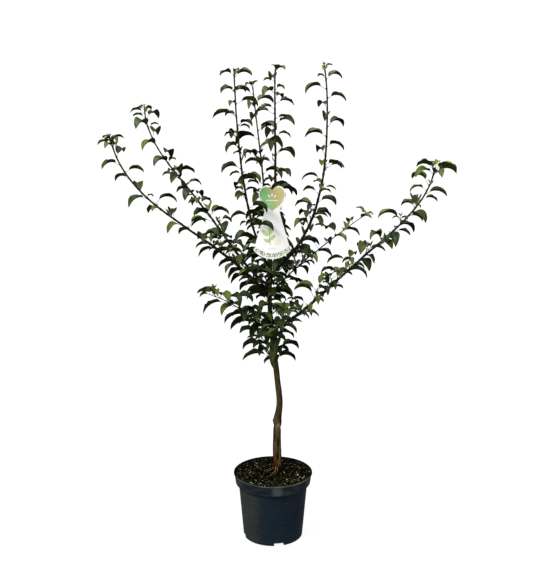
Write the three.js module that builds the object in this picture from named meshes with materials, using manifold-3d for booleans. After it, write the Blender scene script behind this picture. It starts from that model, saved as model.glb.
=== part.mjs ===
// A young pear tree in its nursery pot, with a hanging label.
// Millimetres, +Z up. The origin is the centre of the pot's flat underside and -Y is the front.
import * as THREE from 'three';
import { mergeVertices } from 'three/addons/utils/BufferGeometryUtils.js';
import Module from 'manifold-3d';

const wasm = await Module();
wasm.setup();

// Sizes

const GAP = 0.3; // clear space between neighbouring pieces
const WELD = 1e-4; // corners nearer than this are one

const POT = {
  baseRadius: 99.5,
  wallTopRadius: 115.5, // just under the collar
  collarFootRadius: 125.5,
  lipRadius: 132,
  collarFoot: 187,
  shoulder: 188.5, // top of the wall's inside
  seat: 192.5, // foot of the collar's inside
  height: 225,
  wall: 2.4,
  lipWall: 3.4,
  floor: 3,
  sides: 32,
  // Drainage notches at the foot, each under a box moulded into the corner of the floor.
  notch: { count: 4, first: -78, width: 34, height: 10, depth: 20 },
};

const SOIL = { top: 219, round: 4 }; // round: how far its edge is worn down

const TRUNK = {
  foot: SOIL.top + GAP,
  start: 214.3, // where its line and its taper are counted from
  top: 1030,
  leanX: [15.5, 13.5, 14.5, 22, 14.5, 6, -3.5, -10, -10, -8, -3], // evenly spaced in height
  leanY: [45.5, -6],
  radius: [14.5, 14.1, 12.4, 10.4, 9.9, 9.3, 8.3, 7.4, 6.7, 5.9, 5],
  flare: { reach: 16, swell: 7, roots: 3, turn: 225 }, // the root flare
  graft: { height: 402, reach: 20, swell: 4.2, side: 190 }, // the graft union's bulge
  sides: 10,
};

const TAG = {
  y: -78,
  centre: -3,
  heart: { width: 84, height: 86, top: 1200 },
  neckWidth: 58,
  bodyWidth: 118,
  bodyFoot: 996,
  bodySag: 26, // how far the curved lower edge drops in the middle
  thick: 1.2,
  bend: 190, // radius of the card's curl
  loop: { height: 1128, width: 3.2, band: 2, play: GAP },
  // Room that leaves and twigs leave round the card and round its loop.
  room: { side: 72, front: 8, behind: 26, over: 8, loopSide: 16, loopOver: 10 },
};

// Every leaf: [middle, spread] of each size, angles in degrees.
const LEAF = {
  petiole: [14, 10],
  blade: [58, 8],
  half: [14.5, 2],
  rise: [32, 22, 9], // level leaf, more on top of the stem, spread
  droop: [-62, 14],
  youngRise: 30,
  youngDroop: 45,
  drop: 4, // the bend between stalk and blade
  lean: 0.3, // how far a leaf leans along its stem
  upright: 0.15, // below this it has no way of its own
  fold: [40, 8],
  roll: 16,
  stalk: 0.9, // radius of its stalk
  thick: 0.8, // half the thickness at the midrib
  smallest: 0.7, // leaves under this size keep its thickness
  plain: 1, // leaves under this size have one ring in the blade
};

// Least distances between a leaf and wood, its own stem, another piece's leaf and a leaf of
// its own piece, and how far off two leaves' middles, or a leaf's and a wood's, can't touch.
const CLEAR = { wood: 3, own: 2, leaf: 8, sister: 4.5, sight: 85, woodSight: 70 };

// How leaves are dealt out along a limb.
const GROW = {
  settle: 5, // a leaf stands at least this far from the cut between two pieces
  end: 8, // the last spaced leaf's distance from the tip
  taper: 90, // leaves grow smaller and younger over this length
  young: 0.6,
  vary: [0.9, 0.2], // size, least and range
  pitch: [0.92, 0.16],
  jitter: 16,
  spurBias: 1.6, // spurs are likelier near the limb's foot
  shifts: [0, 60, -60, 120, -120, 180], // turns tried before a leaf is skipped
  twig: {
    reach: [12, 18], radius: [2, 1.7], leaves: 3, turn: 120, stray: 40, size: [0.62, 0.3], young: 0.25,
  },
  // A smaller second leaf beside the first.
  pair: { chance: 0.18, ahead: 3, turn: [70, 80], size: [0.42, 0.3], young: 0.3 },
  tip: { back: 3, apart: 4, turn: 137.5, size: 0.55, young: 0.4 },
  throws: 7, // rolls that one leaf takes
};

// Limbs: foot height on the trunk, compass heading and rise along the length, radius at
// both ends, bare lower length, where it is split, leaf spacing and size, chance of a twig,
// seed, first turn and the turn from leaf to leaf, place of the first leaf in spacings, and
// the tip's leaf size, leaf count and youth.
const LIMBS = [
  {
    name: 'left_low', foot: 823, heading: [-157, -152], rise: [52, 38, 41, 81], length: 754,
    radius: [4.9, 2.1], bare: 45, split: 0.52, pitch: 27.3, size: [0.98, 0.98], spur: 0.25,
    seed: 2035, turn: 222, step: 215.6, first: 0.95, tip: [0.79, 7, 0.25],
  },
  {
    name: 'right_low', foot: 716, heading: [-13, -22], rise: [24, 45, 44, 83], length: 764,
    radius: [5.3, 2.1], bare: 60, split: 0.52, pitch: 28.2, size: [1.18, 1.18], spur: 0.3,
    seed: 1110, turn: 292, step: 137.5, first: 0.91, tip: [1.2, 6, 0.82],
  },
  {
    name: 'right_up', foot: 902, heading: [-10, -116], rise: [40, 64, 76, 65], length: 741,
    radius: [4.9, 2], bare: 35, split: 0.5, pitch: 29.5, size: [0.98, 0.98], spur: 0.25,
    seed: 628, turn: 231, step: 221.5, first: 0.58, tip: [0.4, 3, 1.4],
  },
  {
    name: 'left_back', foot: 864, heading: [141, 159], rise: [18, 47, 46, 92], length: 766,
    radius: [4.7, 2], bare: 40, split: 0.52, pitch: 35.4, size: [1.32, 1.32], spur: 0.25,
    seed: 1081, turn: 108, step: 173.8, first: 0.4, tip: [0.7, 6, 0.2],
  },
  {
    name: 'left_up', foot: 920, heading: [-122, -121], rise: [47, 68, 80, 87], length: 668,
    radius: [4.3, 2], bare: 30, split: 0, pitch: 32.9, size: [0.98, 0.94], spur: 0.15,
    seed: 295, turn: 229, step: 213.8, first: 0.69, tip: [0.92, 4, 0.68],
  },
  {
    name: 'back_up', foot: 939, heading: [107, 107], rise: [72, 73, 67, 70], length: 589,
    radius: [4, 1.9], bare: 30, split: 0, pitch: 29.6, size: [1.25, 1.25], spur: 0.1,
    seed: 1226, turn: 30, step: 145.8, first: 0.79, tip: [0.7, 3, 1],
  },
  {
    name: 'leader', foot: 1030, heading: [-73, -109], rise: [58, 84, 84, 103], length: 534,
    radius: [4.8, 2.1], bare: 0, split: 0, pitch: 30.5, size: [1.03, 1.03], spur: 0.15,
    seed: 3048, turn: 100, step: 216.5, first: 0.72, tip: [0.5, 3, 1.3],
  },
  {
    name: 'right_back', foot: 825, heading: [38, 40], rise: [49, 28, 25, 17], length: 495,
    radius: [2.8, 1.3], bare: 0, split: 0, pitch: 29.2, size: [1.05, 0.98], spur: 0.2,
    seed: 1194, turn: 125, step: 219.4, first: 0.37, tip: [0.55, 3, 0.6],
  },
  {
    name: 'left_short', foot: 716, heading: [-137, -131], rise: [15, 39, 31, 24], length: 322,
    radius: [3, 0.9], bare: 0, split: 0, pitch: 16.2, size: [1.16, 1.09], spur: 0.2,
    seed: 2555, turn: 310, step: 160.3, first: 0.56, tip: [0.7, 3, 0.6],
  },
  {
    name: 'left_foot', foot: 615, heading: [137, 139], rise: [8, 41, 65, 42], length: 155,
    radius: [2.4, 1], bare: 0, split: 0, pitch: 14.5, size: [1.16, 1.16], spur: 0,
    seed: 3196, turn: 237, step: 139.4, first: 1.24, tip: [0.9, 2, 0.4],
  },
  {
    name: 'back', foot: 750, heading: [95, 88], rise: [35, 45, 42, 60], length: 430,
    radius: [3.8, 1.2], bare: 0, split: 0, pitch: 32, size: [1.22, 1.22], spur: 0.25,
    seed: 223, turn: 232, step: 177.7, first: 0.62, tip: [0.9, 4, 0.8],
  },
  {
    name: 'front', foot: 600, heading: [-88, -80], rise: [30, 44, 40, 40], length: 390,
    radius: [3, 1], bare: 0, split: 0, pitch: 30.8, size: [1.16, 1.05], spur: 0.2,
    seed: 2432, turn: 88, step: 178.8, first: 1.32, tip: [0.8, 4, 0.7],
  },
];

// Short leafy spurs round the trunk, each turned on from the one below.
const TUFTS = {
  count: 8, foot: [606, 890], heading: 95, golden: 144, veer: 20, length: [60, 100],
  rise: [20, 40, 45, 50], radius: [2.2, 1], bare: 0, split: 0, pitch: 21.3, size: [1.05, 1.05],
  spur: 0, seed: 1419, step: 144, first: 0.6, tip: [0.7, 3, 0.6],
};

// Colours

const paint = (color, roughness) => new THREE.MeshStandardMaterial({ color, roughness, metalness: 0 });
const COAT = {
  pot: paint(0x2a2e35, 0.5),
  soil: paint(0x2a211a, 0.95),
  trunk: paint(0x5c4a39, 0.85),
  bough: paint(0x443a2c, 0.8),
  leaves: paint(0x32491f, 0.45),
  tag: paint(0xe6ebe4, 0.4),
};

// Small sums

const rad = (deg) => (deg * Math.PI) / 180;
const mix = (a, b, t) => a + (b - a) * t;
const clamp = (v, lo, hi) => Math.min(Math.max(v, lo), hi);
const plus = (a, b, k = 1) => [a[0] + b[0] * k, a[1] + b[1] * k, a[2] + b[2] * k];
const apart = (a, b) => Math.hypot(a[0] - b[0], a[1] - b[1], a[2] - b[2]);
const dot = (a, b) => a[0] * b[0] + a[1] * b[1] + a[2] * b[2];
const cross = (a, b) => [a[1] * b[2] - a[2] * b[1], a[2] * b[0] - a[0] * b[2], a[0] * b[1] - a[1] * b[0]];
const unit = (a) => {
  const n = Math.hypot(...a);
  return a.map((v) => v / n);
};

// A repeatable throw between 0 and 1: the last state times a factor, by the remainder of a prime.
const DICE = { factor: 16807, prime: 2147483647, warm: 3 };
class Dice {
  constructor(seed) {
    this.state = seed;
    for (let i = 0; i < DICE.warm; i++) this.roll(); // small seeds start alike
  }
  roll() {
    this.state = (this.state * DICE.factor) % DICE.prime;
    return this.state / DICE.prime;
  }
  spread(half) {
    return (2 * this.roll() - 1) * half;
  }
}

// A smooth line through evenly spaced values.
function smoothThrough(values, t) {
  const n = values.length - 1;
  const s = clamp(t, 0, 1) * n;
  const i = Math.min(Math.floor(s), n - 1);
  const f = s - i;
  const a = values[Math.max(i - 1, 0)], b = values[i], c = values[i + 1], d = values[Math.min(i + 2, n)];
  const square = 2 * a - 5 * b + 4 * c - d, cube = 3 * b - a - 3 * c + d;
  return 0.5 * (2 * b + (c - a) * f + square * f ** 2 + cube * f ** 3);
}

// The cubic that passes through four evenly spaced values.
function cubic(values, t) {
  const at = [0, 1 / 3, 2 / 3, 1];
  let total = 0;
  for (let k = 0; k < 4; k++) {
    let w = values[k];
    for (let j = 0; j < 4; j++) if (j !== k) w *= (t - at[j]) / (at[k] - at[j]);
    total += w;
  }
  return total;
}

// Solids

// One closed mesh of shared vertices as a solid.
function solidOf(geometry) {
  const bare = geometry.clone();
  bare.deleteAttribute('normal');
  bare.deleteAttribute('uv');
  const merged = mergeVertices(bare, WELD);
  return new wasm.Manifold(new wasm.Mesh({
    numProp: 3,
    vertProperties: new Float32Array(merged.attributes.position.array),
    triVerts: new Uint32Array(merged.index.array),
  }));
}

// Joins a list in pairs, so that no piece is cut many times.
function join(solids) {
  let list = solids;
  while (list.length > 1) {
    const next = [];
    for (let i = 0; i + 1 < list.length; i += 2) next.push(list[i].add(list[i + 1]));
    if (list.length % 2) next.push(list[list.length - 1]);
    list = next;
  }
  return list[0];
}

// The outer skin of the largest body: loose scraps and sealed hollows are left out.
function largestShell(solid) {
  const mesh = solid.getMesh();
  const at = mesh.vertProperties, tris = mesh.triVerts, width = mesh.numProp;
  const point = (v) => [at[v * width], at[v * width + 1], at[v * width + 2]];
  const key = new Map();
  const owner = [];
  const name = [];
  for (let v = 0; v < at.length / width; v++) {
    const k = point(v).map((x) => Math.round(x * 1000)).join(',');
    if (!key.has(k)) {
      key.set(k, owner.length);
      owner.push(owner.length);
    }
    name.push(key.get(k));
  }
  const root = (v) => {
    while (owner[v] !== v) {
      owner[v] = owner[owner[v]];
      v = owner[v];
    }
    return v;
  };
  for (let i = 0; i < tris.length; i += 3) {
    for (const j of [1, 2]) {
      const a = root(name[tris[i]]), b = root(name[tris[i + j]]);
      if (a !== b) owner[a] = b;
    }
  }
  const volume = new Map();
  for (let i = 0; i < tris.length; i += 3) {
    const [a, b, c] = [0, 1, 2].map((j) => point(tris[i + j]));
    const n = cross(b, c);
    const r = root(name[tris[i]]);
    volume.set(r, (volume.get(r) ?? 0) + dot(a, n) / 6);
  }
  const best = [...volume].sort((a, b) => b[1] - a[1])[0][0];
  const kept = [];
  for (let i = 0; i < tris.length; i += 3) {
    if (root(name[tris[i]]) === best) kept.push(tris[i], tris[i + 1], tris[i + 2]);
  }
  const geometry = new THREE.BufferGeometry();
  const flat = new Float32Array((at.length / width) * 3);
  for (let v = 0; v < at.length / width; v++) flat.set(point(v), v * 3);
  geometry.setAttribute('position', new THREE.BufferAttribute(flat, 3));
  geometry.setIndex(kept);
  return mergeVertices(geometry.toNonIndexed(), WELD);
}

// A closed skin over a stack of rings. A ring's points run clockwise as seen from the end
// towards which the stack grows. A ring of three may meet one of four, and a last lone point
// closes the stack.
function loft(rings, tip = null) {
  const points = rings.flat();
  const faces = [];
  const starts = rings.map((_, k) => rings.slice(0, k).reduce((sum, ring) => sum + ring.length, 0));
  for (let i = 1; i + 1 < rings[0].length; i++) faces.push(0, i, i + 1);
  for (let k = 0; k + 1 < rings.length; k++) {
    const m = rings[k].length, n = rings[k + 1].length;
    const a = (i) => starts[k] + (i % m), b = (i) => starts[k + 1] + (i % n);
    for (let i = 0; i < m; i++) faces.push(a(i), b(i), b(i + 1), a(i), b(i + 1), a(i + 1));
    if (n > m) faces.push(a(0), b(m), b(0));
  }
  const last = starts[rings.length - 1], n = rings[rings.length - 1].length;
  if (tip) {
    points.push(tip);
    for (let i = 0; i < n; i++) faces.push(last + i, points.length - 1, last + ((i + 1) % n));
  } else {
    for (let i = 1; i + 1 < n; i++) faces.push(last, last + i + 1, last + i);
  }
  const geometry = new THREE.BufferGeometry();
  geometry.setAttribute('position', new THREE.BufferAttribute(new Float32Array(points.flat()), 3));
  geometry.setIndex(faces);
  return geometry;
}

// A tapering tube along a line of points and directions, its first side carried along
// without twisting.
function tube(points, ways, radii, sides) {
  let side = null;
  const rings = points.map((p, i) => {
    const ahead = ways[i];
    if (!side) side = Math.abs(ahead[2]) < 0.9 ? [0, 0, 1] : [0, 1, 0];
    side = unit(plus(side, ahead, -dot(ahead, side)));
    const other = cross(ahead, side);
    return Array.from({ length: sides }, (_, k) => {
      const a = (-2 * Math.PI * k) / sides;
      return plus(plus(p, side, radii[i] * Math.cos(a)), other, radii[i] * Math.sin(a));
    });
  });
  return loft(rings);
}

// The pot and its soil

function turned(profile, sides) {
  return new THREE.LatheGeometry(profile.map(([r, z]) => new THREE.Vector2(r, z)), sides).rotateX(Math.PI / 2);
}

const wallRadius = (z) => mix(POT.baseRadius, POT.wallTopRadius, z / POT.collarFoot);

const potProfile = () => {
  const { baseRadius, wallTopRadius, collarFootRadius, lipRadius, collarFoot, height, wall, floor } = POT;
  return [
    [0, 0], [baseRadius - 2, 0], [baseRadius, 2.5], [wallTopRadius, collarFoot],
    [collarFootRadius, collarFoot + 2.5], [lipRadius - 2, height - 5], [lipRadius, height - 3.5],
    [lipRadius, height], [lipRadius - POT.lipWall, height], [collarFootRadius - wall, POT.seat],
    [wallTopRadius - wall, POT.shoulder], [wallRadius(floor) - wall, floor], [0, floor],
  ];
};

// A box at each notch, from a radius outwards and from below the floor up to a height.
function notchBoxes(from, to, width, height) {
  const { count, first } = POT.notch;
  return Array.from({ length: count }, (_, k) => {
    const box = new THREE.BoxGeometry(to - from, width, height + 5);
    box.translate((from + to) / 2, 0, (height - 5) / 2).rotateZ(rad(first + (360 / count) * k));
    return solidOf(box);
  });
}

function buildPot() {
  const { depth, width, height } = POT.notch;
  const inner = POT.baseRadius - depth, shell = POT.wall;
  const outside = solidOf(turned([...potProfile().slice(0, 8), [0, POT.height]], POT.sides));
  let pot = solidOf(turned(potProfile(), POT.sides));
  const roofs = notchBoxes(inner - shell, POT.baseRadius + 2, width + 2 * shell, height + shell);
  for (const box of roofs) pot = pot.add(box.intersect(outside));
  for (const box of notchBoxes(inner, POT.baseRadius + 10, width, height)) pot = pot.subtract(box);
  return largestShell(pot);
}

function buildSoil() {
  const { depth, width, height } = POT.notch;
  const { shoulder, seat } = POT, shell = POT.wall + GAP;
  const wall = (z) => wallRadius(z) - shell;
  const foot = POT.collarFootRadius - POT.wall, lip = POT.lipRadius - POT.lipWall;
  const collar = (z) => mix(foot, lip, (z - seat) / (POT.height - seat)) - GAP;
  const edge = SOIL.top - SOIL.round;
  let soil = solidOf(turned([
    [0, POT.floor + GAP], [wall(POT.floor), POT.floor + GAP], [wall(shoulder) - 0.4, shoulder],
    [collar(seat), seat + GAP], [collar(edge), edge], [collar(SOIL.top) - SOIL.round, SOIL.top], [0, SOIL.top],
  ], POT.sides));
  const inner = POT.baseRadius - depth - shell;
  const around = notchBoxes(inner, POT.baseRadius + 2, width + 2 * shell, height + shell);
  for (const box of around) soil = soil.subtract(box);
  return largestShell(soil);
}

// The trunk

function trunkAt(z) {
  const t = (z - TRUNK.start) / (TRUNK.top - TRUNK.start);
  return [smoothThrough(TRUNK.leanX, t), mix(...TRUNK.leanY, t), z];
}

const trunkRadius = (z) => smoothThrough(TRUNK.radius, (z - TRUNK.start) / (TRUNK.top - TRUNK.start));

// Heights of the trunk's rings above its foot, closer at the flare and at the graft.
const RINGS = [0, 7, 16, 34, 80, 130, 158, 176, 188, 202, 218, 250, 310, 380, 460, 540, 620, 700, 760];

// The trunk's skin, with its root flare and the bulge of the graft, grown by a margin.
function trunkSkin(margin = 0) {
  const { flare, graft, sides } = TRUNK;
  const heights = [...RINGS, TRUNK.top - TRUNK.foot];
  const rings = heights.map((h, i) => {
    const z = TRUNK.foot + h + (i === 0 ? -margin : i === heights.length - 1 ? margin : 0);
    const centre = trunkAt(TRUNK.foot + h);
    centre[2] = z;
    return Array.from({ length: sides }, (_, k) => {
      const a = (-2 * Math.PI * k) / sides;
      const roots = 0.6 + 0.4 * Math.cos(flare.roots * (a - rad(flare.turn)));
      const root = Math.exp(-h / flare.reach) * flare.swell * roots;
      const near = Math.exp(-(((z - graft.height) / graft.reach) ** 2));
      const bulge = near * graft.swell * Math.max(0, Math.cos(a - rad(graft.side)));
      return plus(centre, [Math.cos(a), Math.sin(a), 0], trunkRadius(z) + root + bulge + margin * 1.05);
    });
  });
  return loft(rings);
}

const trunkSolid = solidOf(trunkSkin());
const trunkSpace = solidOf(trunkSkin(GAP));

// Limbs

// The limbs' wood: sides, how far a flat-sided limb swells to fill its round, and ring spacing.
const BOUGH = { sides: 6, swell: 1.05, spacing: 24 };
const STEM = { sides: 4, swell: 1.15, spacing: 60 };

const STEPS = 60; // steps along a limb
const FINE = 12; // steps along a blade
const TRUNK_STEPS = 40; // steps along the trunk, where leaves are kept clear of it
const NEAR = { stem: 11, sister: 10 }; // a leaf's first samples, not tested against its own

class Limb {
  constructor(spec) {
    this.spec = spec;
    this.name = spec.name;
    this.length = spec.length;
    let p = trunkAt(spec.foot);
    this.points = [p];
    for (let i = 0; i < STEPS; i++) {
      p = plus(p, this.direction((i + 0.5) / STEPS), this.length / STEPS);
      this.points.push(p);
    }
    this.cut = spec.split ? this.length * spec.split : 0;
  }
  heading(t) { return rad(mix(...this.spec.heading, t)); }
  direction(t) {
    const a = this.heading(t), r = rad(cubic(this.spec.rise, t));
    return [Math.cos(r) * Math.cos(a), Math.cos(r) * Math.sin(a), Math.sin(r)];
  }
  share(s) { return clamp(s / this.length, 0, 1); }
  at(s) {
    const u = this.share(s) * STEPS;
    const i = Math.min(Math.floor(u), STEPS - 1);
    return plus(this.points[i], plus(this.points[i + 1], this.points[i], -1), u - i);
  }
  thick(s) { return mix(...this.spec.radius, this.share(s) ** 0.8); }
  // Which of the limb's leafy pieces holds the place s.
  piece(s) { return this.cut && s > this.cut ? 1 : 0; }
  // Keeps a leaf's foot off the cut between two pieces.
  settle(s) { return this.cut && Math.abs(s - this.cut) < GROW.settle ? this.cut + GROW.settle : s; }
  // The tapering wood between two places.
  wood(from, to, sides, swell, spacing) {
    const n = Math.max(1, Math.ceil((to - from) / spacing));
    const places = Array.from({ length: n + 1 }, (_, i) => mix(from, to, i / n));
    return tube(places.map((s) => this.at(s)), places.map((s) => this.direction(this.share(s))),
      places.map((s) => this.thick(s) * swell), sides);
  }
}

// A leaf on its stalk: a midrib that arches over, with both halves of the blade folded up.
class Leaf {
  constructor(limb, s, foot, tangent, heading, turn, size, young, dice) {
    const throws = Array.from({ length: GROW.throws }, () => dice.roll());
    const about = (pair, i) => pair[0] + pair[1] * (2 * throws[i] - 1);
    const radial = sideways(tangent, heading, turn);
    let out = [0, 1].map((k) => radial[k] + LEAF.lean * tangent[k]);
    if (Math.hypot(...out) < LEAF.upright) out = [Math.cos(heading), Math.sin(heading)];
    this.limb = limb;
    this.s = s;
    this.foot = foot;
    this.size = size;
    this.out = unit(out);
    const [level, lift, spread] = LEAF.rise;
    this.rise = level + lift * radial[2] + spread * (2 * throws[1] - 1) + LEAF.youngRise * young;
    this.stalk = size * (LEAF.petiole[0] + LEAF.petiole[1] * throws[0]);
    this.blade = size * about(LEAF.blade, 3);
    this.half = size * about(LEAF.half, 4);
    this.droop = about(LEAF.droop, 2) + LEAF.youngDroop * young;
    this.fold = rad(about(LEAF.fold, 5));
    this.roll = rad(LEAF.roll * (2 * throws[6] - 1));
    const first = this.rise - LEAF.drop;
    let p = plus(foot, this.forward(rad(this.rise)), this.stalk);
    this.midrib = [p];
    this.slopes = [rad(first)];
    for (let i = 0; i < FINE; i++) {
      p = plus(p, this.forward(rad(mix(first, this.droop, (i + 0.5) / FINE))), this.blade / FINE);
      this.midrib.push(p);
      this.slopes.push(rad(mix(first, this.droop, (i + 1) / FINE)));
    }
  }
  forward(a) { return [this.out[0] * Math.cos(a), this.out[1] * Math.cos(a), Math.sin(a)]; }
  width(t) { return t > 0 && t < 1 ? this.half * Math.sin(Math.PI * t ** 0.8) ** 0.85 : 0; }
  // The blade's sideways and upward directions where the midrib slopes by a.
  frame(a, roll = this.roll) {
    const side = [-this.out[1], this.out[0], 0];
    const up = [-this.out[0] * Math.sin(a), -this.out[1] * Math.sin(a), Math.cos(a)];
    const c = Math.cos(roll), s = Math.sin(roll);
    return [side.map((v, k) => v * c + up[k] * s), up.map((v, k) => v * c - side[k] * s)];
  }
  // A point of the blade: station i of the midrib, v from -1 to 1 across.
  across(i, v) {
    const [side, up] = this.frame(this.slopes[i]);
    const w = this.width(i / FINE);
    const edge = plus(this.midrib[i], side, w * v * Math.cos(this.fold));
    return plus(edge, up, w * Math.abs(v) * Math.sin(this.fold));
  }
  samples() {
    const stalk = plus(this.midrib[0], this.foot, -1);
    const list = [plus(this.foot, stalk, 0.3), plus(this.foot, stalk, 0.65)];
    list.push(this.midrib[0], this.midrib[1], this.midrib[FINE]);
    for (let i = 2; i < FINE; i++) for (const v of [-1, -0.5, 0, 0.5, 1]) list.push(this.across(i, v));
    return list;
  }
  // The stalk's three-sided ring.
  ring(centre, a, reach) {
    const [side, up] = this.frame(a, 0);
    return [-30, 90, 210].map(rad).map((turn) => (
      plus(plus(centre, side, -reach * Math.cos(turn)), up, reach * Math.sin(turn))));
  }
  bladeRing(i) {
    const up = this.frame(this.slopes[i])[1];
    const t = LEAF.thick * Math.max(LEAF.smallest, this.size);
    return [
      this.across(i, -1), plus(this.midrib[i], up, t), this.across(i, 1), plus(this.midrib[i], up, -t),
    ];
  }
  solid() {
    const reach = LEAF.stalk * clamp(this.size, LEAF.smallest, 1);
    const stations = this.size < LEAF.plain ? [FINE / 2] : [FINE / 3, (2 * FINE) / 3];
    return solidOf(loft([
      this.ring(this.foot, rad(this.rise), reach), this.ring(this.midrib[0], this.slopes[0], reach),
      ...stations.map((i) => this.bladeRing(i)),
    ], this.midrib[FINE]));
  }
}

// The direction square to a stem at a turn round it, counted from its left.
function sideways(tangent, heading, turn) {
  const left = [-Math.sin(heading), Math.cos(heading), 0];
  const over = cross(tangent, left);
  return plus(left.map((v) => v * Math.cos(rad(turn))), over, Math.sin(rad(turn)));
}

// Growth

function tuftSpec(k) {
  const seed = TUFTS.seed + 7 * k;
  const dice = new Dice(seed);
  const heading = TUFTS.heading + TUFTS.golden * k;
  return {
    ...TUFTS,
    name: `spur_${k + 1}`,
    foot: mix(...TUFTS.foot, k / (TUFTS.count - 1)),
    heading: [heading, heading + dice.spread(TUFTS.veer)],
    length: mix(...TUFTS.length, dice.roll()),
    turn: dice.roll() * 360,
    seed,
  };
}

const tufts = Array.from({ length: TUFTS.count }, (_, k) => tuftSpec(k));
const limbs = [...LIMBS, ...tufts].map((spec) => new Limb(spec));
const leader = limbs.find((limb) => limb.name === 'leader');

// Where the label's loop goes round the leader.
const loopAt = (() => {
  let s = 0;
  while (leader.at(s)[2] < TAG.loop.height) s += 1;
  const [x, y] = leader.at(s);
  return { x, y, radius: leader.thick(s) * STEM.swell + 1 };
})();

// The middle lines of every limb and of the trunk, in short straight parts.
const bones = (() => {
  const parts = (count, at, thick) => Array.from({ length: count }, (_, i) => (
    { a: at(i / count), b: at((i + 1) / count), r: thick((i + 0.5) / count) }));
  const height = (k) => mix(TRUNK.start, TRUNK.top, k);
  return [
    ...limbs.map((limb) => (
      { limb, parts: parts(STEPS, (k) => limb.at(k * limb.length), (k) => limb.thick(k * limb.length)) })),
    { limb: null, parts: parts(TRUNK_STEPS, (k) => trunkAt(height(k)), (k) => trunkRadius(height(k))) },
  ];
})();

function toSegment(p, a, b) {
  const ab = plus(b, a, -1), ap = plus(p, a, -1);
  const t = clamp(dot(ab, ap) / dot(ab, ab), 0, 1);
  return apart(p, plus(a, ab, t));
}

// Whether a point is in the space that the label and its loop need.
function nearLabel([x, y, z]) {
  const { room, y: front, centre, heart, loop } = TAG;
  const behind = y - front;
  if (behind <= -room.front) return false;
  const card = Math.abs(x - centre) < room.side && behind < room.behind
    && z > TAG.bodyFoot - TAG.bodySag - room.over && z < heart.top + room.over;
  const strap = Math.abs(x - loopAt.x) < room.loopSide && y < loopAt.y + room.loopSide
    && Math.abs(z - loop.height) < room.loopOver;
  return card || strap;
}

const grown = []; // the leaves so far: { leaf, samples, middle }
const shoots = []; // the short twigs so far: { limb, s, foot, tip }

// Whether points of a limb's piece keep clear of the twigs of every other piece.
const clearOfShoots = (points, limb, s) => shoots.every((shoot) =>
  (shoot.limb === limb && limb.piece(shoot.s) === limb.piece(s))
  || points.every((p) => toSegment(p, shoot.foot, shoot.tip) > GROW.twig.radius[0] + CLEAR.wood));

// Whether a twig is clear of the label, of other limbs and of their leaves.
function twigFits(limb, s, foot, tip) {
  const line = [0.35, 0.7, 1].map((t) => plus(foot, plus(tip, foot, -1), t));
  if (line.some(nearLabel) || !clearOfShoots(line, limb, s)) return false;
  const least = GROW.twig.radius[0] + CLEAR.wood;
  for (const { limb: other, parts } of bones) {
    if (other === limb) continue;
    if (parts.some(({ a, b, r }) => line.some((p) => toSegment(p, a, b) < r + least))) return false;
  }
  return grown.every(({ leaf, samples }) => (
    leaf.limb === limb || samples.every((q) => line.every((p) => apart(p, q) > CLEAR.leaf))));
}

// Whether a leaf is clear of all that has grown. A leaf's first samples lie on its stalk,
// which may come near its own stem and the leaves of its own piece.
function fits(leaf) {
  const samples = leaf.samples();
  if (samples.some(nearLabel) || !clearOfShoots(samples, leaf.limb, leaf.s)) return false;
  const middle = leaf.midrib[FINE / 2];
  for (const { limb, parts } of bones) {
    const own = limb === leaf.limb;
    const least = own ? CLEAR.own : CLEAR.wood;
    const tested = samples.slice(own ? NEAR.stem : 0);
    for (const { a, b, r } of parts) {
      if (apart(middle, a) > CLEAR.woodSight) continue;
      if (tested.some((p) => toSegment(p, a, b) < r + least)) return false;
    }
  }
  for (const other of grown) {
    if (apart(middle, other.middle) > CLEAR.sight) continue;
    const { limb, s } = other.leaf;
    const same = limb === leaf.limb && limb.piece(s) === limb.piece(leaf.s);
    const least = same ? CLEAR.sister : CLEAR.leaf;
    const skipped = same ? NEAR.sister : 0;
    const mine = samples.slice(skipped), theirs = other.samples.slice(skipped);
    if (mine.some((p) => theirs.some((q) => apart(p, q) < least))) return false;
  }
  return true;
}

function keep(leaf) {
  grown.push({ leaf, samples: leaf.samples(), middle: leaf.midrib[FINE / 2] });
  return leaf;
}

// Three small leaves round the end of a short twig, or null if none of them fits.
function growTwig(limb, s, along, size, pick, dice) {
  const { twig } = GROW;
  const foot = limb.at(s);
  const tip = plus(foot, along, twig.reach[0] + twig.reach[1] * pick[0] + limb.thick(s));
  const free = twigFits(limb, s, foot, tip);
  const leaves = [];
  for (let j = 0; j < twig.leaves; j++) {
    const turn = twig.turn * j + 360 * pick[1] + twig.stray * pick[2 + j];
    const small = size * (twig.size[0] + twig.size[1] * pick[2 + j]);
    const way = Math.atan2(along[1], along[0]);
    const leaf = new Leaf(limb, s, plus(tip, along, -2), along, way, turn, small, twig.young, dice);
    if (free && fits(leaf)) leaves.push(keep(leaf));
  }
  if (!leaves.length) return null;
  shoots.push({ limb, s, foot, tip });
  return { s, foot, tip, along, leaves };
}

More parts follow.
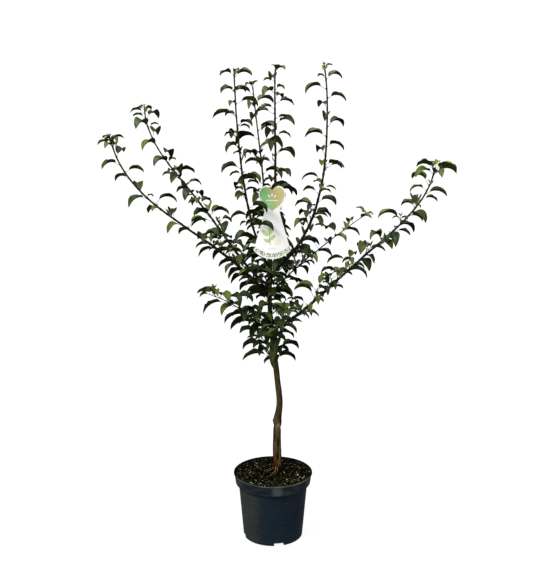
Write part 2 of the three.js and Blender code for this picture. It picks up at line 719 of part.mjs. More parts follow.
// Grows one limb's leaves and the short twigs that carry some of them.
function growLimb(limb) {
  const { spec, length } = limb;
  const { pair } = GROW;
  const dice = new Dice(spec.seed);
  const leaves = [], twigs = [];
  const [tipSize, tipLeaves, tipYoung] = spec.tip;
  const tryLeaf = (s, turn, size, young) => {
    const t = s / length;
    const leaf = new Leaf(limb, s, limb.at(s), limb.direction(t), limb.heading(t), turn, size, young, dice);
    if (!fits(leaf)) return false;
    leaves.push(keep(leaf));
    return true;
  };
  let turn = spec.turn;
  for (let s = spec.bare + spec.pitch * spec.first; s < length - GROW.end;) {
    const place = limb.settle(s);
    const t = place / length;
    const left = (length - s) / GROW.taper;
    const size = mix(...spec.size, t) * (GROW.vary[0] + GROW.vary[1] * dice.roll())
      * mix(tipSize, 1, Math.min(1, left + 0.25));
    const here = turn + dice.spread(GROW.jitter);
    const twiggy = dice.roll() < spec.spur * (1 - t) * GROW.spurBias;
    const paired = dice.roll() < pair.chance;
    const pick = Array.from({ length: 6 }, () => dice.roll());
    if (twiggy) {
      const tangent = limb.direction(t), away = sideways(tangent, limb.heading(t), here);
      const along = unit(away.map((v, k) => 0.7 * v + 0.4 * tangent[k] + (k === 2 ? 0.6 : 0)));
      const twig = growTwig(limb, place, along, size, pick, dice);
      if (twig) {
        twigs.push(twig);
        leaves.push(...twig.leaves);
      }
    } else {
      const young = Math.max(0, 1 - left) * GROW.young;
      const { state } = dice;
      GROW.shifts.some((shift) => {
        dice.state = state;
        return tryLeaf(place, here + shift, size, young);
      });
      if (paired) {
        tryLeaf(place + pair.ahead, here + pair.turn[0] + pair.turn[1] * pick[3],
          size * (pair.size[0] + pair.size[1] * pick[4]), pair.young);
      } else {
        for (let i = 0; i < GROW.throws; i++) dice.roll();
      }
    }
    turn += spec.step;
    s += spec.pitch * (GROW.pitch[0] + GROW.pitch[1] * dice.roll());
  }
  for (let j = 0; j < tipLeaves; j++) { // the young leaves round the growing tip
    const k = j / (tipLeaves - 1), { tip } = GROW;
    tryLeaf(length - tip.back - tip.apart * j, turn + tip.turn * j,
      tipSize * mix(tip.size, 1, k), tipYoung * mix(1, tip.young, k));
  }
  return { leaves, twigs };
}

// The limb's solids: its bare bough, if it has one, and its one or two leafy pieces.
function buildLimb(limb) {
  const { leaves, twigs } = growLimb(limb);
  const built = [];
  const { bare, name } = limb.spec;
  if (bare) {
    const { sides, swell, spacing } = BOUGH;
    const bough = solidOf(limb.wood(0, bare - GAP / 2, sides, swell, spacing)).subtract(trunkSpace);
    built.push([`bough_${name}`, largestShell(bough), COAT.bough]);
  }
  const ends = [bare + (bare ? GAP / 2 : 0), ...(limb.cut ? [limb.cut] : []), limb.length];
  for (let k = 0; k + 1 < ends.length; k++) {
    const from = ends[k] + (k ? GAP / 2 : 0), to = ends[k + 1] - (k + 2 < ends.length ? GAP / 2 : 0);
    let stem = solidOf(limb.wood(from, to, STEM.sides, STEM.swell, STEM.spacing));
    if (!bare && !k) stem = stem.subtract(trunkSpace);
    const mine = (item) => limb.piece(item.s) === k;
    const solids = [
      stem,
      ...twigs.filter(mine).map(({ foot, tip, along }) => (
        solidOf(tube([foot, tip], [along, along], GROW.twig.radius, 3)))),
      ...leaves.filter(mine).map((leaf) => leaf.solid()),
    ];
    const label = limb.cut ? `leaves_${name}_${k ? 'end' : 'foot'}` : `leaves_${name}`;
    built.push([label, largestShell(join(solids)), COAT.leaves]);
  }
  return built;
}

// The label

// A heart over a flared card in one piece, curled a little, with a loop round the leader.
function labelOutline() {
  const { heart, bodyFoot, bodySag } = TAG;
  const w = heart.width / 2, top = heart.top, low = top - heart.height;
  const neck = TAG.neckWidth / 2, foot = TAG.bodyWidth / 2;
  const cleft = top - heart.height * 0.17;
  const shape = new THREE.Shape();
  shape.moveTo(0, cleft);
  for (const side of [1, -1]) {
    const curves = [
      [w * 0.22, top + 2, w * 0.82, top + 6, w * 0.97, top - heart.height * 0.2],
      [w * 1.1, top - heart.height * 0.48, w * 0.62, low + heart.height * 0.24, neck * 0.8, low + 6],
      [neck, low - 18, foot * 0.7, bodyFoot + 58, foot, bodyFoot],
      [foot * 0.7, bodyFoot - bodySag * 0.7, foot * 0.35, bodyFoot - bodySag, 0, bodyFoot - bodySag],
    ];
    if (side > 0) {
      for (const c of curves) shape.bezierCurveTo(...c);
    } else { // the same curves, run backwards on the other side
      for (let k = curves.length - 1; k >= 0; k--) {
        const [x1, z1, x2, z2] = curves[k];
        const [x0, z0] = k ? curves[k - 1].slice(4) : [0, cleft];
        shape.bezierCurveTo(-x2, z2, -x1, z1, -x0, z0);
      }
    }
  }
  return shape;
}

function buildLabel() {
  const { centre, y, thick, bend, loop, heart, bodyFoot, bodySag } = TAG;
  const tall = heart.top + 10 - (bodyFoot - bodySag - 10);
  const sheet = new THREE.BoxGeometry(TAG.bodyWidth + 10, thick, tall, 7, 1, 1);
  sheet.translate(0, 0, heart.top + 10 - tall / 2);
  const at = sheet.attributes.position;
  for (let i = 0; i < at.count; i++) {
    const a = at.getX(i) / bend, r = bend - at.getY(i);
    at.setXYZ(i, centre + r * Math.sin(a), y + bend - r * Math.cos(a), at.getZ(i));
  }
  const cutter = new THREE.ExtrudeGeometry(labelOutline(), {
    depth: 80, bevelEnabled: false, curveSegments: 5,
  });
  cutter.rotateX(Math.PI / 2).translate(centre, y + 60, 0);
  const card = solidOf(sheet).intersect(solidOf(cutter));
  // The loop: a flat band whose far end bears on the back of the leader.
  const inner = loopAt.radius + 2.5, back = loopAt.y + loopAt.radius + loop.play - inner;
  const stadium = (r) => {
    const path = r > inner ? new THREE.Shape() : new THREE.Path();
    path.absarc(loopAt.x, back, r, 0, Math.PI, false);
    path.lineTo(loopAt.x - r, y - (r > inner ? 0.2 : -loop.band));
    path.lineTo(loopAt.x + r, y - (r > inner ? 0.2 : -loop.band));
    path.closePath();
    return path;
  };
  const band = stadium(inner + loop.band);
  band.holes.push(stadium(inner));
  const strap = new THREE.ExtrudeGeometry(band, { depth: loop.width, bevelEnabled: false, curveSegments: 6 });
  strap.translate(0, 0, loop.height - loop.width / 2);
  return largestShell(card.add(solidOf(strap)));
}

// The scene

const tree = new THREE.Group();
tree.name = 'potted_pear_tree';

function add(name, geometry, material, parent = tree) {
  const mesh = new THREE.Mesh(geometry, material);
  mesh.name = name;
  geometry.computeVertexNormals();
  parent.add(mesh);
}

add('pot', buildPot(), COAT.pot);
add('soil', buildSoil(), COAT.soil);
add('trunk', largestShell(trunkSolid), COAT.trunk);
const crown = new THREE.Group();
tree.add(crown);
for (const [name, geometry, coat] of limbs.flatMap(buildLimb)) add(name, geometry, coat, crown);
add('label', buildLabel(), COAT.tag);

export default tree;
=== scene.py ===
"""A young pear tree in its nursery pot, with bark, shoots, leaves, potting mix and a hanging label.

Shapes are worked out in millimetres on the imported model's frame, +Z up and -Y to the front, and
scaled to metres as each mesh is made. The crown grows by the rule that its solids grew by.
"""
import logging
import math
from collections.abc import Sequence
from dataclasses import dataclass, fields, replace
from enum import Enum, IntEnum
from typing import Any

import bpy
import numpy as np
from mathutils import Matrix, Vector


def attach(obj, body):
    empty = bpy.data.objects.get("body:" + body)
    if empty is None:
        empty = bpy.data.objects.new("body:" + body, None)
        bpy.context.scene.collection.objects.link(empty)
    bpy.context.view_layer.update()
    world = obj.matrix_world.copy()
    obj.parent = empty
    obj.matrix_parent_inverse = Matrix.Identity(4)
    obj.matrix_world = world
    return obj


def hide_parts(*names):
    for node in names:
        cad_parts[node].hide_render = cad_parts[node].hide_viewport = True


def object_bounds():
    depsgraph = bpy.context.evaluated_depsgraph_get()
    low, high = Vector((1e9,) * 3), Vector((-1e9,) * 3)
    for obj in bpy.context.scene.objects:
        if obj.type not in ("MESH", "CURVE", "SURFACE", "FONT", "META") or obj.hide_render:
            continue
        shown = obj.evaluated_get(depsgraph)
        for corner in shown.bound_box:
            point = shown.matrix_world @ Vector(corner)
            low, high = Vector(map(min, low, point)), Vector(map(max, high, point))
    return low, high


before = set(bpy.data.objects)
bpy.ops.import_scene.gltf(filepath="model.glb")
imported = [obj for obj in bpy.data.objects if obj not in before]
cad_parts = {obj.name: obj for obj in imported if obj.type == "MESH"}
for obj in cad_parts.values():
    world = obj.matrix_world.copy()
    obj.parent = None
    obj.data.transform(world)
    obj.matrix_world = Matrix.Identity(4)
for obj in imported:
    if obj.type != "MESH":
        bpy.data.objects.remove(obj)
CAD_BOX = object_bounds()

log = logging.getLogger("pear_tree")

Array = np.ndarray
Material = bpy.types.Material
Pair = tuple[float, float]
Triple = tuple[float, float, float]
Row = tuple[float, ...]
Colour = Triple
MM = 0.001
STEPS = 60  # straight parts of a limb's middle line
SPURS = 8  # short leafy spurs round the stem
TRUNK = 40  # straight parts of the stem, in the tests of clear space
FINE = 12  # straight parts of a blade's midrib, in the tests of clear space


def unit(v: Array) -> Array:
    """Vectors scaled to length one along the last axis."""
    return v / np.linalg.norm(v, axis=-1, keepdims=True)


def lerp(a: Any, b: Any, t: Any) -> Any:
    """The value a share t of the way from a to b."""
    return a + (b - a) * t


def smooth_step(lo: float, hi: float, x: Array) -> Array:
    """0 below lo, 1 above hi and an even S-curve between."""
    t = np.clip((x - lo) / (hi - lo), 0, 1)
    return t * t * (3 - 2 * t)


def srgb(red: int, green: int, blue: int) -> Colour:
    """A colour given as it looks on a screen, as the linear colour that shaders take.

    Args:
        red: from 0 to 255, as green and blue are.
        green: the second channel.
        blue: the third.

    Returns:
        The linear colour.
    """
    def linear(v: int) -> float:
        """One channel by the standard curve."""
        s = v / 255
        return s / 12.92 if s <= 0.04045 else ((s + 0.055) / 1.055) ** 2.4
    return linear(red), linear(green), linear(blue)


def bell(x: Array, wide: float) -> Array:
    """A bump of height one at zero: e to the minus (x over wide) squared."""
    return np.exp(-((x / wide) ** 2))


def turns(count: int) -> Array:
    """Angles in radians evenly spaced round a whole turn."""
    return np.arange(count) * 2 * np.pi / count


def polar(turn: Array, radius: Array | float, height: Array | float) -> Array:
    """Points by their turn and radius round the middle and their height, with x, y and z last."""
    return np.stack(np.broadcast_arrays(radius * np.cos(turn), radius * np.sin(turn), height), -1)


def upright(out: Array, flat: Array, high: Array) -> Array:
    """Points in the upright plane of a level direction, by distance along it and height."""
    return np.concatenate([out * flat[..., None], high[..., None]], -1)


def off_turn(a: Array, turn: float) -> Array:
    """How far angles lie from a turn, from minus π to π."""
    return (a - turn + np.pi) % (2 * np.pi) - np.pi


def square_to(ahead: Array) -> Array:
    """A direction square to each way ahead: level, or off the y axis where that way stands upright."""
    odd = np.where(np.abs(ahead[:, 2:]) < 0.9, np.array([[0.0, 0, 1]]), np.array([[0.0, 1, 0]]))
    return unit(np.cross(odd, ahead))


def placed(name: str, data: Any) -> bpy.types.Object:
    """Puts a mesh, a light or a camera in the scene.

    Args:
        name: the object's name.
        data: what it holds.

    Returns:
        The new object.
    """
    obj = bpy.data.objects.new(name, data)
    bpy.context.scene.collection.objects.link(obj)
    return obj


# Noise

@dataclass(frozen=True)
class Grain:
    """Seeded lattice noise in space, from -1 to 1."""

    seed: int

    def at(self, points: Array) -> Array:
        """Blends hashed values of the eight whole-number corners round each point.

        A corner's weight is the product by axis of 3f²-2f³, or of one minus it, where f is how
        far the point is past the lower corner.

        Args:
            points: places in the noise, in cells, with x, y and z last.

        Returns:
            One value for each point.
        """
        low = np.floor(points)
        part = points - low
        ease = part * part * (3 - 2 * part)
        cell = low.astype(np.int64)
        total = np.zeros(points.shape[:-1])
        for corner in np.ndindex(2, 2, 2):
            c = np.array(corner)
            weight = np.prod(np.where(c == 1, ease, 1 - ease), axis=-1)
            total += weight * self._hashed(cell + c)
        return total

    def layers(self, points: Array, count: int = 3) -> Array:
        """Noise at doubled scales, each half as strong as the last, added up."""
        return sum(Grain(self.seed + 17 * k).at(points * 2.0 ** k) * 0.5 ** k for k in range(count))

    def _hashed(self, cell: Array) -> Array:
        """A repeatable value from -1 to 1 for each whole-number corner.

        Args:
            cell: the corners, with x, y and z last.

        Returns:
            A value each.
        """
        mixed = cell[..., 0] * 73856093 ^ cell[..., 1] * 19349663 ^ cell[..., 2] * 83492791
        mixed = (mixed ^ (self.seed * 2654435761)) & 0x7FFFFFFF
        mixed = (mixed * ((mixed * mixed * 15731 + 789221) & 0x7FFFFFFF) + 1376312589) & 0x7FFFFFFF
        return mixed / float(0x3FFFFFFF) - 1


# Meshes

@dataclass
class Skin:
    """A mesh in the making, in millimetres: points, faces of four and three corners, coats, UVs, tones."""

    points: Array
    quads: Array
    tris: Array
    quad_coat: Array
    tri_coat: Array
    uv: Array
    tone: Array

    @staticmethod
    def grid(rings: Array, foot: Array | None = None, tip: Array | None = None, coat: Array | int = 0,
             uv: Array | None = None, tone: Array | float = 0.0) -> "Skin":
        """Joins the points of many like grids of closed rings with faces.

        Corner c of ring r meets corner c+1 and ring r+1, and the last corner meets the first.
        Corners that run right-handed round the rings' way give faces that point outwards.

        Args:
            rings: points by copy, ring and corner, with x, y and z last.
            foot: a point a copy that closes the first ring.
            tip: a point a copy that closes the last ring.
            coat: coat number, for all or by copy and corner.
            uv: UVs by ring and corner, or by copy too.
            tone: a value for all, or by copy and ring.

        Returns:
            The grids as one skin.
        """
        copies, count, corners = rings.shape[:3]
        base = np.arange(copies * count * corners).reshape(copies, count, corners)
        after = np.roll(base, -1, axis=2)
        quads = np.stack([base[:, :-1], after[:, :-1], after[:, 1:], base[:, 1:]], axis=-1)
        coats = np.broadcast_to(np.asarray(coat), (copies, corners))
        quad_coat = np.broadcast_to(coats[:, None], quads.shape[:3]).reshape(-1)
        uvs = np.broadcast_to(np.zeros(2) if uv is None else uv, (copies, count, corners, 2))
        tones = np.broadcast_to(np.asarray(tone, float), (copies, count))
        points, all_uvs, all_tones = [rings.reshape(-1, 3)], [uvs.reshape(-1, 2)], [np.repeat(tones, corners)]
        tris, tri_coat = [np.zeros((0, 3), int)], [np.zeros(0, int)]
        for pole, ring in ((foot, 0), (tip, count - 1)):
            if pole is None:
                continue
            hub = np.repeat(sum(map(len, points)) + np.arange(copies), corners).reshape(copies, corners)
            pair = (base[:, ring], after[:, ring]) if ring else (after[:, ring], base[:, ring])
            tris.append(np.stack([hub, *pair], axis=-1).reshape(-1, 3))
            tri_coat.append(coats.reshape(-1))
            points.append(pole.reshape(copies, 3))
            all_uvs.append(uvs[:, ring].mean(axis=1))
            all_tones.append(tones[:, ring])
        return Skin(np.concatenate(points), quads.reshape(-1, 4), np.concatenate(tris), quad_coat,
                    np.concatenate(tri_coat), np.concatenate(all_uvs), np.concatenate(all_tones))

    @staticmethod
    def joined(skins: Sequence["Skin"]) -> "Skin":
        """Several skins as one, with their corner numbers moved on.

        Args:
            skins: the parts.

        Returns:
            The whole.
        """
        starts = np.cumsum([0] + [len(s.points) for s in skins[:-1]])
        moved = [replace(s, quads=s.quads + n, tris=s.tris + n) for s, n in zip(skins, starts)]
        return Skin(*(np.concatenate([getattr(s, part.name) for s in moved]) for part in fields(Skin)))

    def piece(self, name: str, coats: Sequence[Material], slot: str, crease: float = 180.0,
              nodes: Sequence[str] = ()) -> bpy.types.Object:
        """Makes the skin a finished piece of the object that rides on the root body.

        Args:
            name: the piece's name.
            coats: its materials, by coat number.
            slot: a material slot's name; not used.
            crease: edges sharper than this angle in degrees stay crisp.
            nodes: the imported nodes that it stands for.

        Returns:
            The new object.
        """
        mesh = bpy.data.meshes.new(name)
        points = np.clip(self.points * MM, *CAD_BOX)
        mesh.from_pydata(points.tolist(), [], self.quads.tolist() + self.tris.tolist())
        mesh.polygons.foreach_set("material_index", np.concatenate([self.quad_coat, self.tri_coat]))
        mesh.polygons.foreach_set("use_smooth", np.ones(len(mesh.polygons), bool))
        corners = np.zeros(len(mesh.loops), np.int32)
        mesh.loops.foreach_get("vertex_index", corners)
        layer = mesh.uv_layers.new(name="surface")
        layer.data.foreach_set("uv", self.uv[corners].astype(np.float32).reshape(-1))
        mesh.attributes.new("tone", "FLOAT", "POINT").data.foreach_set("value", self.tone.astype(np.float32))
        for coat in coats:
            mesh.materials.append(coat)
        mesh.update(calc_edges=True)
        if crease < 180:
            mesh.set_sharp_from_angle(angle=math.radians(crease))
        obj = placed(name, mesh)
        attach(obj, "root")
        if nodes:
            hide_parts(*nodes)
        log.info("%s: %d faces", name, len(mesh.polygons))
        return obj


def ring_ways(sides: Array, ahead: Array, corners: int) -> Array:
    """Ways from a ring's middle to its corners: side × cos a + (ahead × side) × sin a at turn a."""
    a, across = turns(corners)[:, None], np.cross(ahead, sides)
    return sides[..., None, :] * np.cos(a) + across[..., None, :] * np.sin(a)


def tube(centres: Array, sides: Array, ahead: Array, radii: Array, corners: int,
         tone: Array | float = 0.0) -> Skin:
    """Round tubes along middle lines, closed at both ends: each corner at centre + radius × way.

    Args:
        centres: points by copy and ring.
        sides: a direction square to the way ahead, by copy and ring.
        ahead: the way ahead, by copy and ring.
        radii: a radius by copy and ring, or by copy, ring and corner.
        corners: corners of each ring.
        tone: a value by copy and ring.

    Returns:
        The tubes as one skin.
    """
    if radii.ndim == 2:
        radii = radii[..., None]
    rings = centres[:, :, None] + ring_ways(sides, ahead, corners) * radii[..., None]
    return Skin.grid(rings, centres[:, 0], centres[:, -1], tone=tone)


def beads(centres: Array, ahead: Array, long: Array, wide: Array, coat: int = 0, tone: float = 0.0) -> Skin:
    """Small pointed eggs of three rings, widest near the middle of the length.

    Args:
        centres: where each starts.
        ahead: the way it points.
        long: its length.
        wide: its greatest radius.
        coat: coat number.
        tone: a value for all.

    Returns:
        The eggs as one skin.
    """
    share, girth = np.array([0.0, 0.16, 0.45, 0.78, 1.0]), np.array([0.8, 1.0, 0.55])
    spine = centres[:, None] + ahead[:, None] * (long[:, None] * share)[..., None]
    way = ring_ways(square_to(ahead), ahead, 6)
    rings = spine[:, 1:-1, None] + way[:, None] * (wide[:, None] * girth)[..., None, None]
    return Skin.grid(rings, spine[:, 0], spine[:, -1], coat, tone=tone)


# Shaders

class Sock:
    """A node's output that adds Math nodes when it is used in a sum."""

    def __init__(self, tree: "Coating", socket: bpy.types.NodeSocket) -> None:
        """Wraps a socket of that coating's node tree."""
        self.tree = tree
        self.socket = socket

    def math(self, operation: str, *others: "Sock | float") -> "Sock":
        """One Math node with this value first."""
        return self.tree.node("ShaderNodeMath", {"operation": operation}, dict(enumerate((self, *others))))

    def __add__(self, other: "Sock | float") -> "Sock":
        """This plus other."""
        return self.math("ADD", other)

    def __mul__(self, other: "Sock | float") -> "Sock":
        """This times other."""
        return self.math("MULTIPLY", other)

    def __sub__(self, other: "Sock | float") -> "Sock":
        """This less other."""
        return self.math("SUBTRACT", other)

    def __rsub__(self, other: float) -> "Sock":
        """A number less this."""
        return self.math("MULTIPLY", -1.0) + other

    def __truediv__(self, other: "Sock | float") -> "Sock":
        """This over other."""
        return self.math("DIVIDE", other)

    __radd__ = __add__
    __rmul__ = __mul__

    def size(self) -> "Sock":
        """This without its sign."""
        return self.math("ABSOLUTE")

    def least(self, other: "Sock | float") -> "Sock":
        """The smaller of the two."""
        return self.math("MINIMUM", other)

    def rise(self, lo: float, hi: float) -> "Sock":
        """0 at lo and 1 at hi by an even S-curve, or the other way round where hi is less.

        Args:
            lo: where it is 0.
            hi: where it is 1.

        Returns:
            The share.
        """
        if hi < lo:
            return 1 - self.rise(hi, lo)
        settings = {"interpolation_type": "SMOOTHSTEP", "clamp": True}
        return self.tree.node("ShaderNodeMapRange", settings, {"Value": self, "From Min": lo, "From Max": hi})


class Coating:
    """A material in the making: its node tree round one Principled shader."""

    def __init__(self, name: str) -> None:
        """Starts a material with only its shader and output.

        Args:
            name: the material's name.
        """
        self.material = bpy.data.materials.new(name)
        self.material.use_nodes = True
        self.nodes = self.material.node_tree.nodes
        self.links = self.material.node_tree.links
        self.shader = self.nodes["Principled BSDF"]

    def node(self, kind: str, settings: dict[str, Any] | None = None,
             inputs: dict[str | int, Any] | None = None, out: str | int = 0) -> Sock:
        """Adds a node, sets it up and then fills its sockets.

        Args:
            kind: the node's type.
            settings: its properties.
            inputs: socket values or links, by name or number.
            out: the output that is wanted.

        Returns:
            That output.
        """
        made = self.nodes.new(kind)
        for key, value in (settings or {}).items():
            setattr(made, key, value)
        for key, value in (inputs or {}).items():
            self.fill(made.inputs[key], value)
        return Sock(self, made.outputs[out])

    def fill(self, socket: bpy.types.NodeSocket, value: Any) -> None:
        """Links a socket or sets its value.

        Args:
            socket: the socket.
            value: a link, a number, a vector or a colour.
        """
        if isinstance(value, Sock):
            self.links.new(value.socket, socket)
        elif isinstance(value, tuple) and socket.type == "RGBA":
            socket.default_value = (*value[:3], 1.0)
        else:
            socket.default_value = value

    def wear(self, **sockets: Any) -> Material:
        """Fills the shader's sockets.

        Args:
            sockets: values or links by socket name, with spaces as underscores.

        Returns:
            The finished material.
        """
        for key, value in sockets.items():
            self.fill(self.shader.inputs[key.replace("_", " ")], value)
        return self.material

    def place(self, squash: float = 1.0) -> Sock:
        """The point's own place in metres, with its height times squash."""
        here = self.node("ShaderNodeTexCoord", out="Object")
        return self.node("ShaderNodeMapping", {}, {"Vector": here, "Scale": (1.0, 1.0, squash)})

    def axis(self, which: str) -> Sock:
        """One axis of the point's own place, in millimetres."""
        here = self.node("ShaderNodeTexCoord", out="Object")
        return self.node("ShaderNodeSeparateXYZ", {}, {0: here}, out=which) * 1000.0

    def surface(self, which: str) -> Sock:
        """One of the mesh's own surface coordinates."""
        uv = self.node("ShaderNodeUVMap", {"uv_map": "surface"})
        return self.node("ShaderNodeSeparateXYZ", {}, {0: uv}, out=which)

    def tone(self) -> Sock:
        """The value kept with each point of the mesh."""
        return self.node("ShaderNodeAttribute", {"attribute_name": "tone"}, out="Fac")

    def noise(self, cells: float, detail: float = 3.0, rough: float = 0.55, squash: float = 1.0) -> Sock:
        """Cloudy noise from 0 to 1 with that many cells a metre."""
        inputs = {"Vector": self.place(squash), "Scale": cells, "Detail": detail, "Roughness": rough}
        return self.node("ShaderNodeTexNoise", {}, inputs)

    def spots(self, cells: float, squash: float = 1.0) -> Sock:
        """Distance to the nearest of scattered points, in cells."""
        inputs = {"Vector": self.place(squash), "Scale": cells}
        return self.node("ShaderNodeTexVoronoi", {}, inputs, out="Distance")

    def mix(self, a: Any, b: Any, share: Any) -> Sock:
        """A colour that share of the way from a to b."""
        return self.node("ShaderNodeMix", {"data_type": "RGBA"}, {0: share, 6: a, 7: b}, out=2)

    def bump(self, height: Sock, depth: float, strength: float = 1.0) -> Sock:
        """A surface direction tilted by a height from 0 to 1 that stands for depth millimetres."""
        inputs = {"Height": height, "Distance": depth * MM, "Strength": strength}
        return self.node("ShaderNodeBump", {}, inputs)


# Finishes

@dataclass(frozen=True)
class PotPlastic:
    """Matt charcoal plastic: blue-black, browner to one side, with dusty scuffs round it, painted sheen and
    highlights on the collar and rim, and painted shade under them.
    """

    dark: Colour = srgb(30, 45, 58)
    brown: Colour = srgb(63, 66, 64)
    # Dust colour, also used for the painted sheen and highlights.
    dust: Colour = srgb(104, 108, 105)
    # The colour that the shade is painted in.
    night: Colour = srgb(8, 9, 11)
    step: float = 189.0
    lip: float = 222.0

    def made(self) -> Material:
        """Two broad tones by place, thin dusty lines along the turning, a fine moulded grain, and painted
        sheen, highlight and shade.

        Returns:
            The material.
        """
        c = Coating("pot_plastic")
        x, y, z = (c.axis(which) for which in "XYZ")
        collar, back = z.rise(self.step - 0.5, self.step + 1.5), y.rise(-78.0, -20.0)
        side = (x + (c.noise(14.0, 2.0) - 0.5) * 60.0).rise(-25.0, -75.0)
        side = side * (0.75 - z.rise(self.step - 5.0, self.step + 3.0) * 0.5)
        film = c.noise(9.0, 3.0, 0.6, 1.8).rise(0.42, 0.72)
        colour = c.mix(self.dark, self.brown, side + film * 0.22)
        lines = c.noise(26.0, 4.0, 0.7, 9.0).rise(0.56, 0.7) * 0.2
        specks = c.spots(420.0).rise(0.16, 0.08) * c.noise(20.0).rise(0.5, 0.7) * 0.35
        # Painted sheen: a pale patch on the front of the collar.
        patch = x.rise(-10.0, 8.0) * x.rise(38.0, 22.0) * y.rise(-80.0, -100.0)
        smears_and_sheen = collar * (patch * 0.42 + film * 0.2 + 0.04)
        colour = c.mix(colour, self.dust, ((lines + specks).least(1.0) + smears_and_sheen).least(1.0))
        # Painted sheen at the collar's left and right ends and a painted highlight along the rim's top edge,
        # both kept off the back.
        ends = x.size().rise(104.0, 120.0) * collar * c.noise(40.0, 2.0).rise(0.4, 0.6)
        edge = z.rise(self.lip - 0.4, self.lip + 1.2)
        colour = c.mix(colour, self.dust, (ends * 0.7 + edge * 0.8).least(1.0) * (1 - back))
        shade = c.noise(24.0, 3.0, 0.6, 3.0).rise(0.35, 0.62) * collar * (1 - patch) * (1 - ends)
        colour = c.mix(colour, self.night, shade * 0.5)
        # Painted shade in the groove under the collar's step, and under the lip at the back of the pot.
        groove_shade = z.rise(self.step - 6.0, self.step - 2.5) * z.rise(self.step + 0.4, self.step - 0.2)
        under = z.rise(self.lip - 6.0, self.lip - 2.0) * back
        colour = c.mix(colour, self.night, (groove_shade + under).least(1.0) * 0.85)
        relief = c.noise(900.0, 2.0) * 0.3 + c.noise(30.0, 2.0, 0.5, 6.0)
        return c.wear(Base_Color=colour, Roughness=c.noise(60.0).rise(0.2, 0.9) * 0.16 + 0.46,
                      Specular_IOR_Level=0.05, Normal=c.bump(relief, 0.35, 0.6))


@dataclass(frozen=True)
class Mulch:
    """Potting mix: dark crumbs with a damp, mossy side."""

    dark: Colour = srgb(4, 3, 1)
    brown: Colour = srgb(28, 24, 13)
    moss: Colour = srgb(44, 50, 20)

    def made(self) -> Material:
        """Brown over near-black by noise at two scales, greened by patches to the front.

        Returns:
            The material.
        """
        c = Coating("potting_mix")
        base = c.mix(self.dark, self.brown, c.noise(130.0, 4.0).rise(0.46, 0.66))
        front = c.axis("Y").rise(20.0, -110.0) * c.noise(38.0, 3.0).rise(0.44, 0.6)
        return c.wear(Base_Color=c.mix(base, self.moss, front * 0.55), Roughness=0.95,
                      Specular_IOR_Level=0.01, Normal=c.bump(c.noise(420.0, 4.0), 1.4))


@dataclass(frozen=True)
class Flat:
    """A small part's plain colour with a fine grain."""

    name: str
    colour: Colour
    rough: float = 0.8
    shine: float = 0.3
    depth: float = 0.25

    def made(self) -> Material:
        """The plain colour over a fine relief."""
        c = Coating(self.name)
        return c.wear(Base_Color=self.colour, Roughness=self.rough, Specular_IOR_Level=self.shine,
                      Normal=c.bump(c.noise(700.0, 3.0), self.depth))


@dataclass(frozen=True)
class StemBark:
    """The stem's bark: reddish-brown stock, pale patches at the graft and a grey-olive scion."""

    foot: Colour = srgb(100, 58, 32)
    stock: Colour = srgb(104, 84, 54)
    pale: Colour = srgb(164, 144, 110)
    scion: Colour = srgb(90, 82, 46)
    top: Colour = srgb(68, 64, 34)
    # Colour of the cracks, and of the painted shade.
    crack: Colour = srgb(16, 9, 3)
    graft: float = 379.0

    def made(self) -> Material:
        """Colours by height and side with ragged borders, dark cracks, pale cork spots and painted shade on
        the sides and at the foot.

        Returns:
            The material.
        """
        c = Coating("stem_bark")
        z, right, front, graft = c.axis("Z"), c.surface("X"), 1 - c.surface("Y"), self.graft
        high = z + (c.noise(40.0, 3.0) - 0.5) * 40.0
        base = c.mix(self.foot, self.stock, high.rise(246.0, 310.0))
        base = c.mix(base, self.scion, high.rise(graft - 1.0, graft + 31.0))
        base = c.mix(base, self.top, high.rise(560.0, 820.0))
        callus = high.rise(graft - 13.0, graft - 5.0) * high.rise(graft + 13.0, graft + 5.0)
        callus = callus * c.noise(60.0, 3.0).rise(0.46, 0.56) * front
        streak = c.noise(34.0, 3.0, 0.6, 0.16).rise(0.52, 0.66)
        base = c.mix(base, self.pale, (callus * 0.8 + streak * 0.5).least(1.0))
        cracks = c.noise(120.0, 4.0, 0.65, 0.14)
        old = high.rise(430.0, 300.0) * 0.4 + 0.55
        base = c.mix(base, self.crack, cracks.rise(0.54, 0.44) * old)
        # Painted shade: darker on the right above the graft, down both edges, on the left beside the graft,
        # and towards the foot, more on the right.
        side_shade = right.rise(0.68, 0.88) * high.rise(graft - 7.0, graft + 13.0)
        side_shade = side_shade + (right - 0.5).size().rise(0.33, 0.47) * 0.8
        collar = right.rise(0.3, 0.1) * (high - graft).size().rise(17.0, 8.0)
        foot_shade = z.rise(246.0, 222.0) * (right.rise(0.3, 0.6) * 0.5 + 0.3)
        base = c.mix(base, self.crack, (side_shade * 0.85 + collar * 0.7 + foot_shade).least(0.9))
        cork = c.spots(170.0, 0.6).rise(0.2, 0.1)
        base = c.mix(base, self.pale, cork * 0.4)
        relief = cracks * 0.8 + cork * 0.5 + c.noise(600.0, 3.0) * 0.3
        return c.wear(Base_Color=base, Roughness=0.85, Specular_IOR_Level=0.06,
                      Normal=c.bump(relief, 0.9))


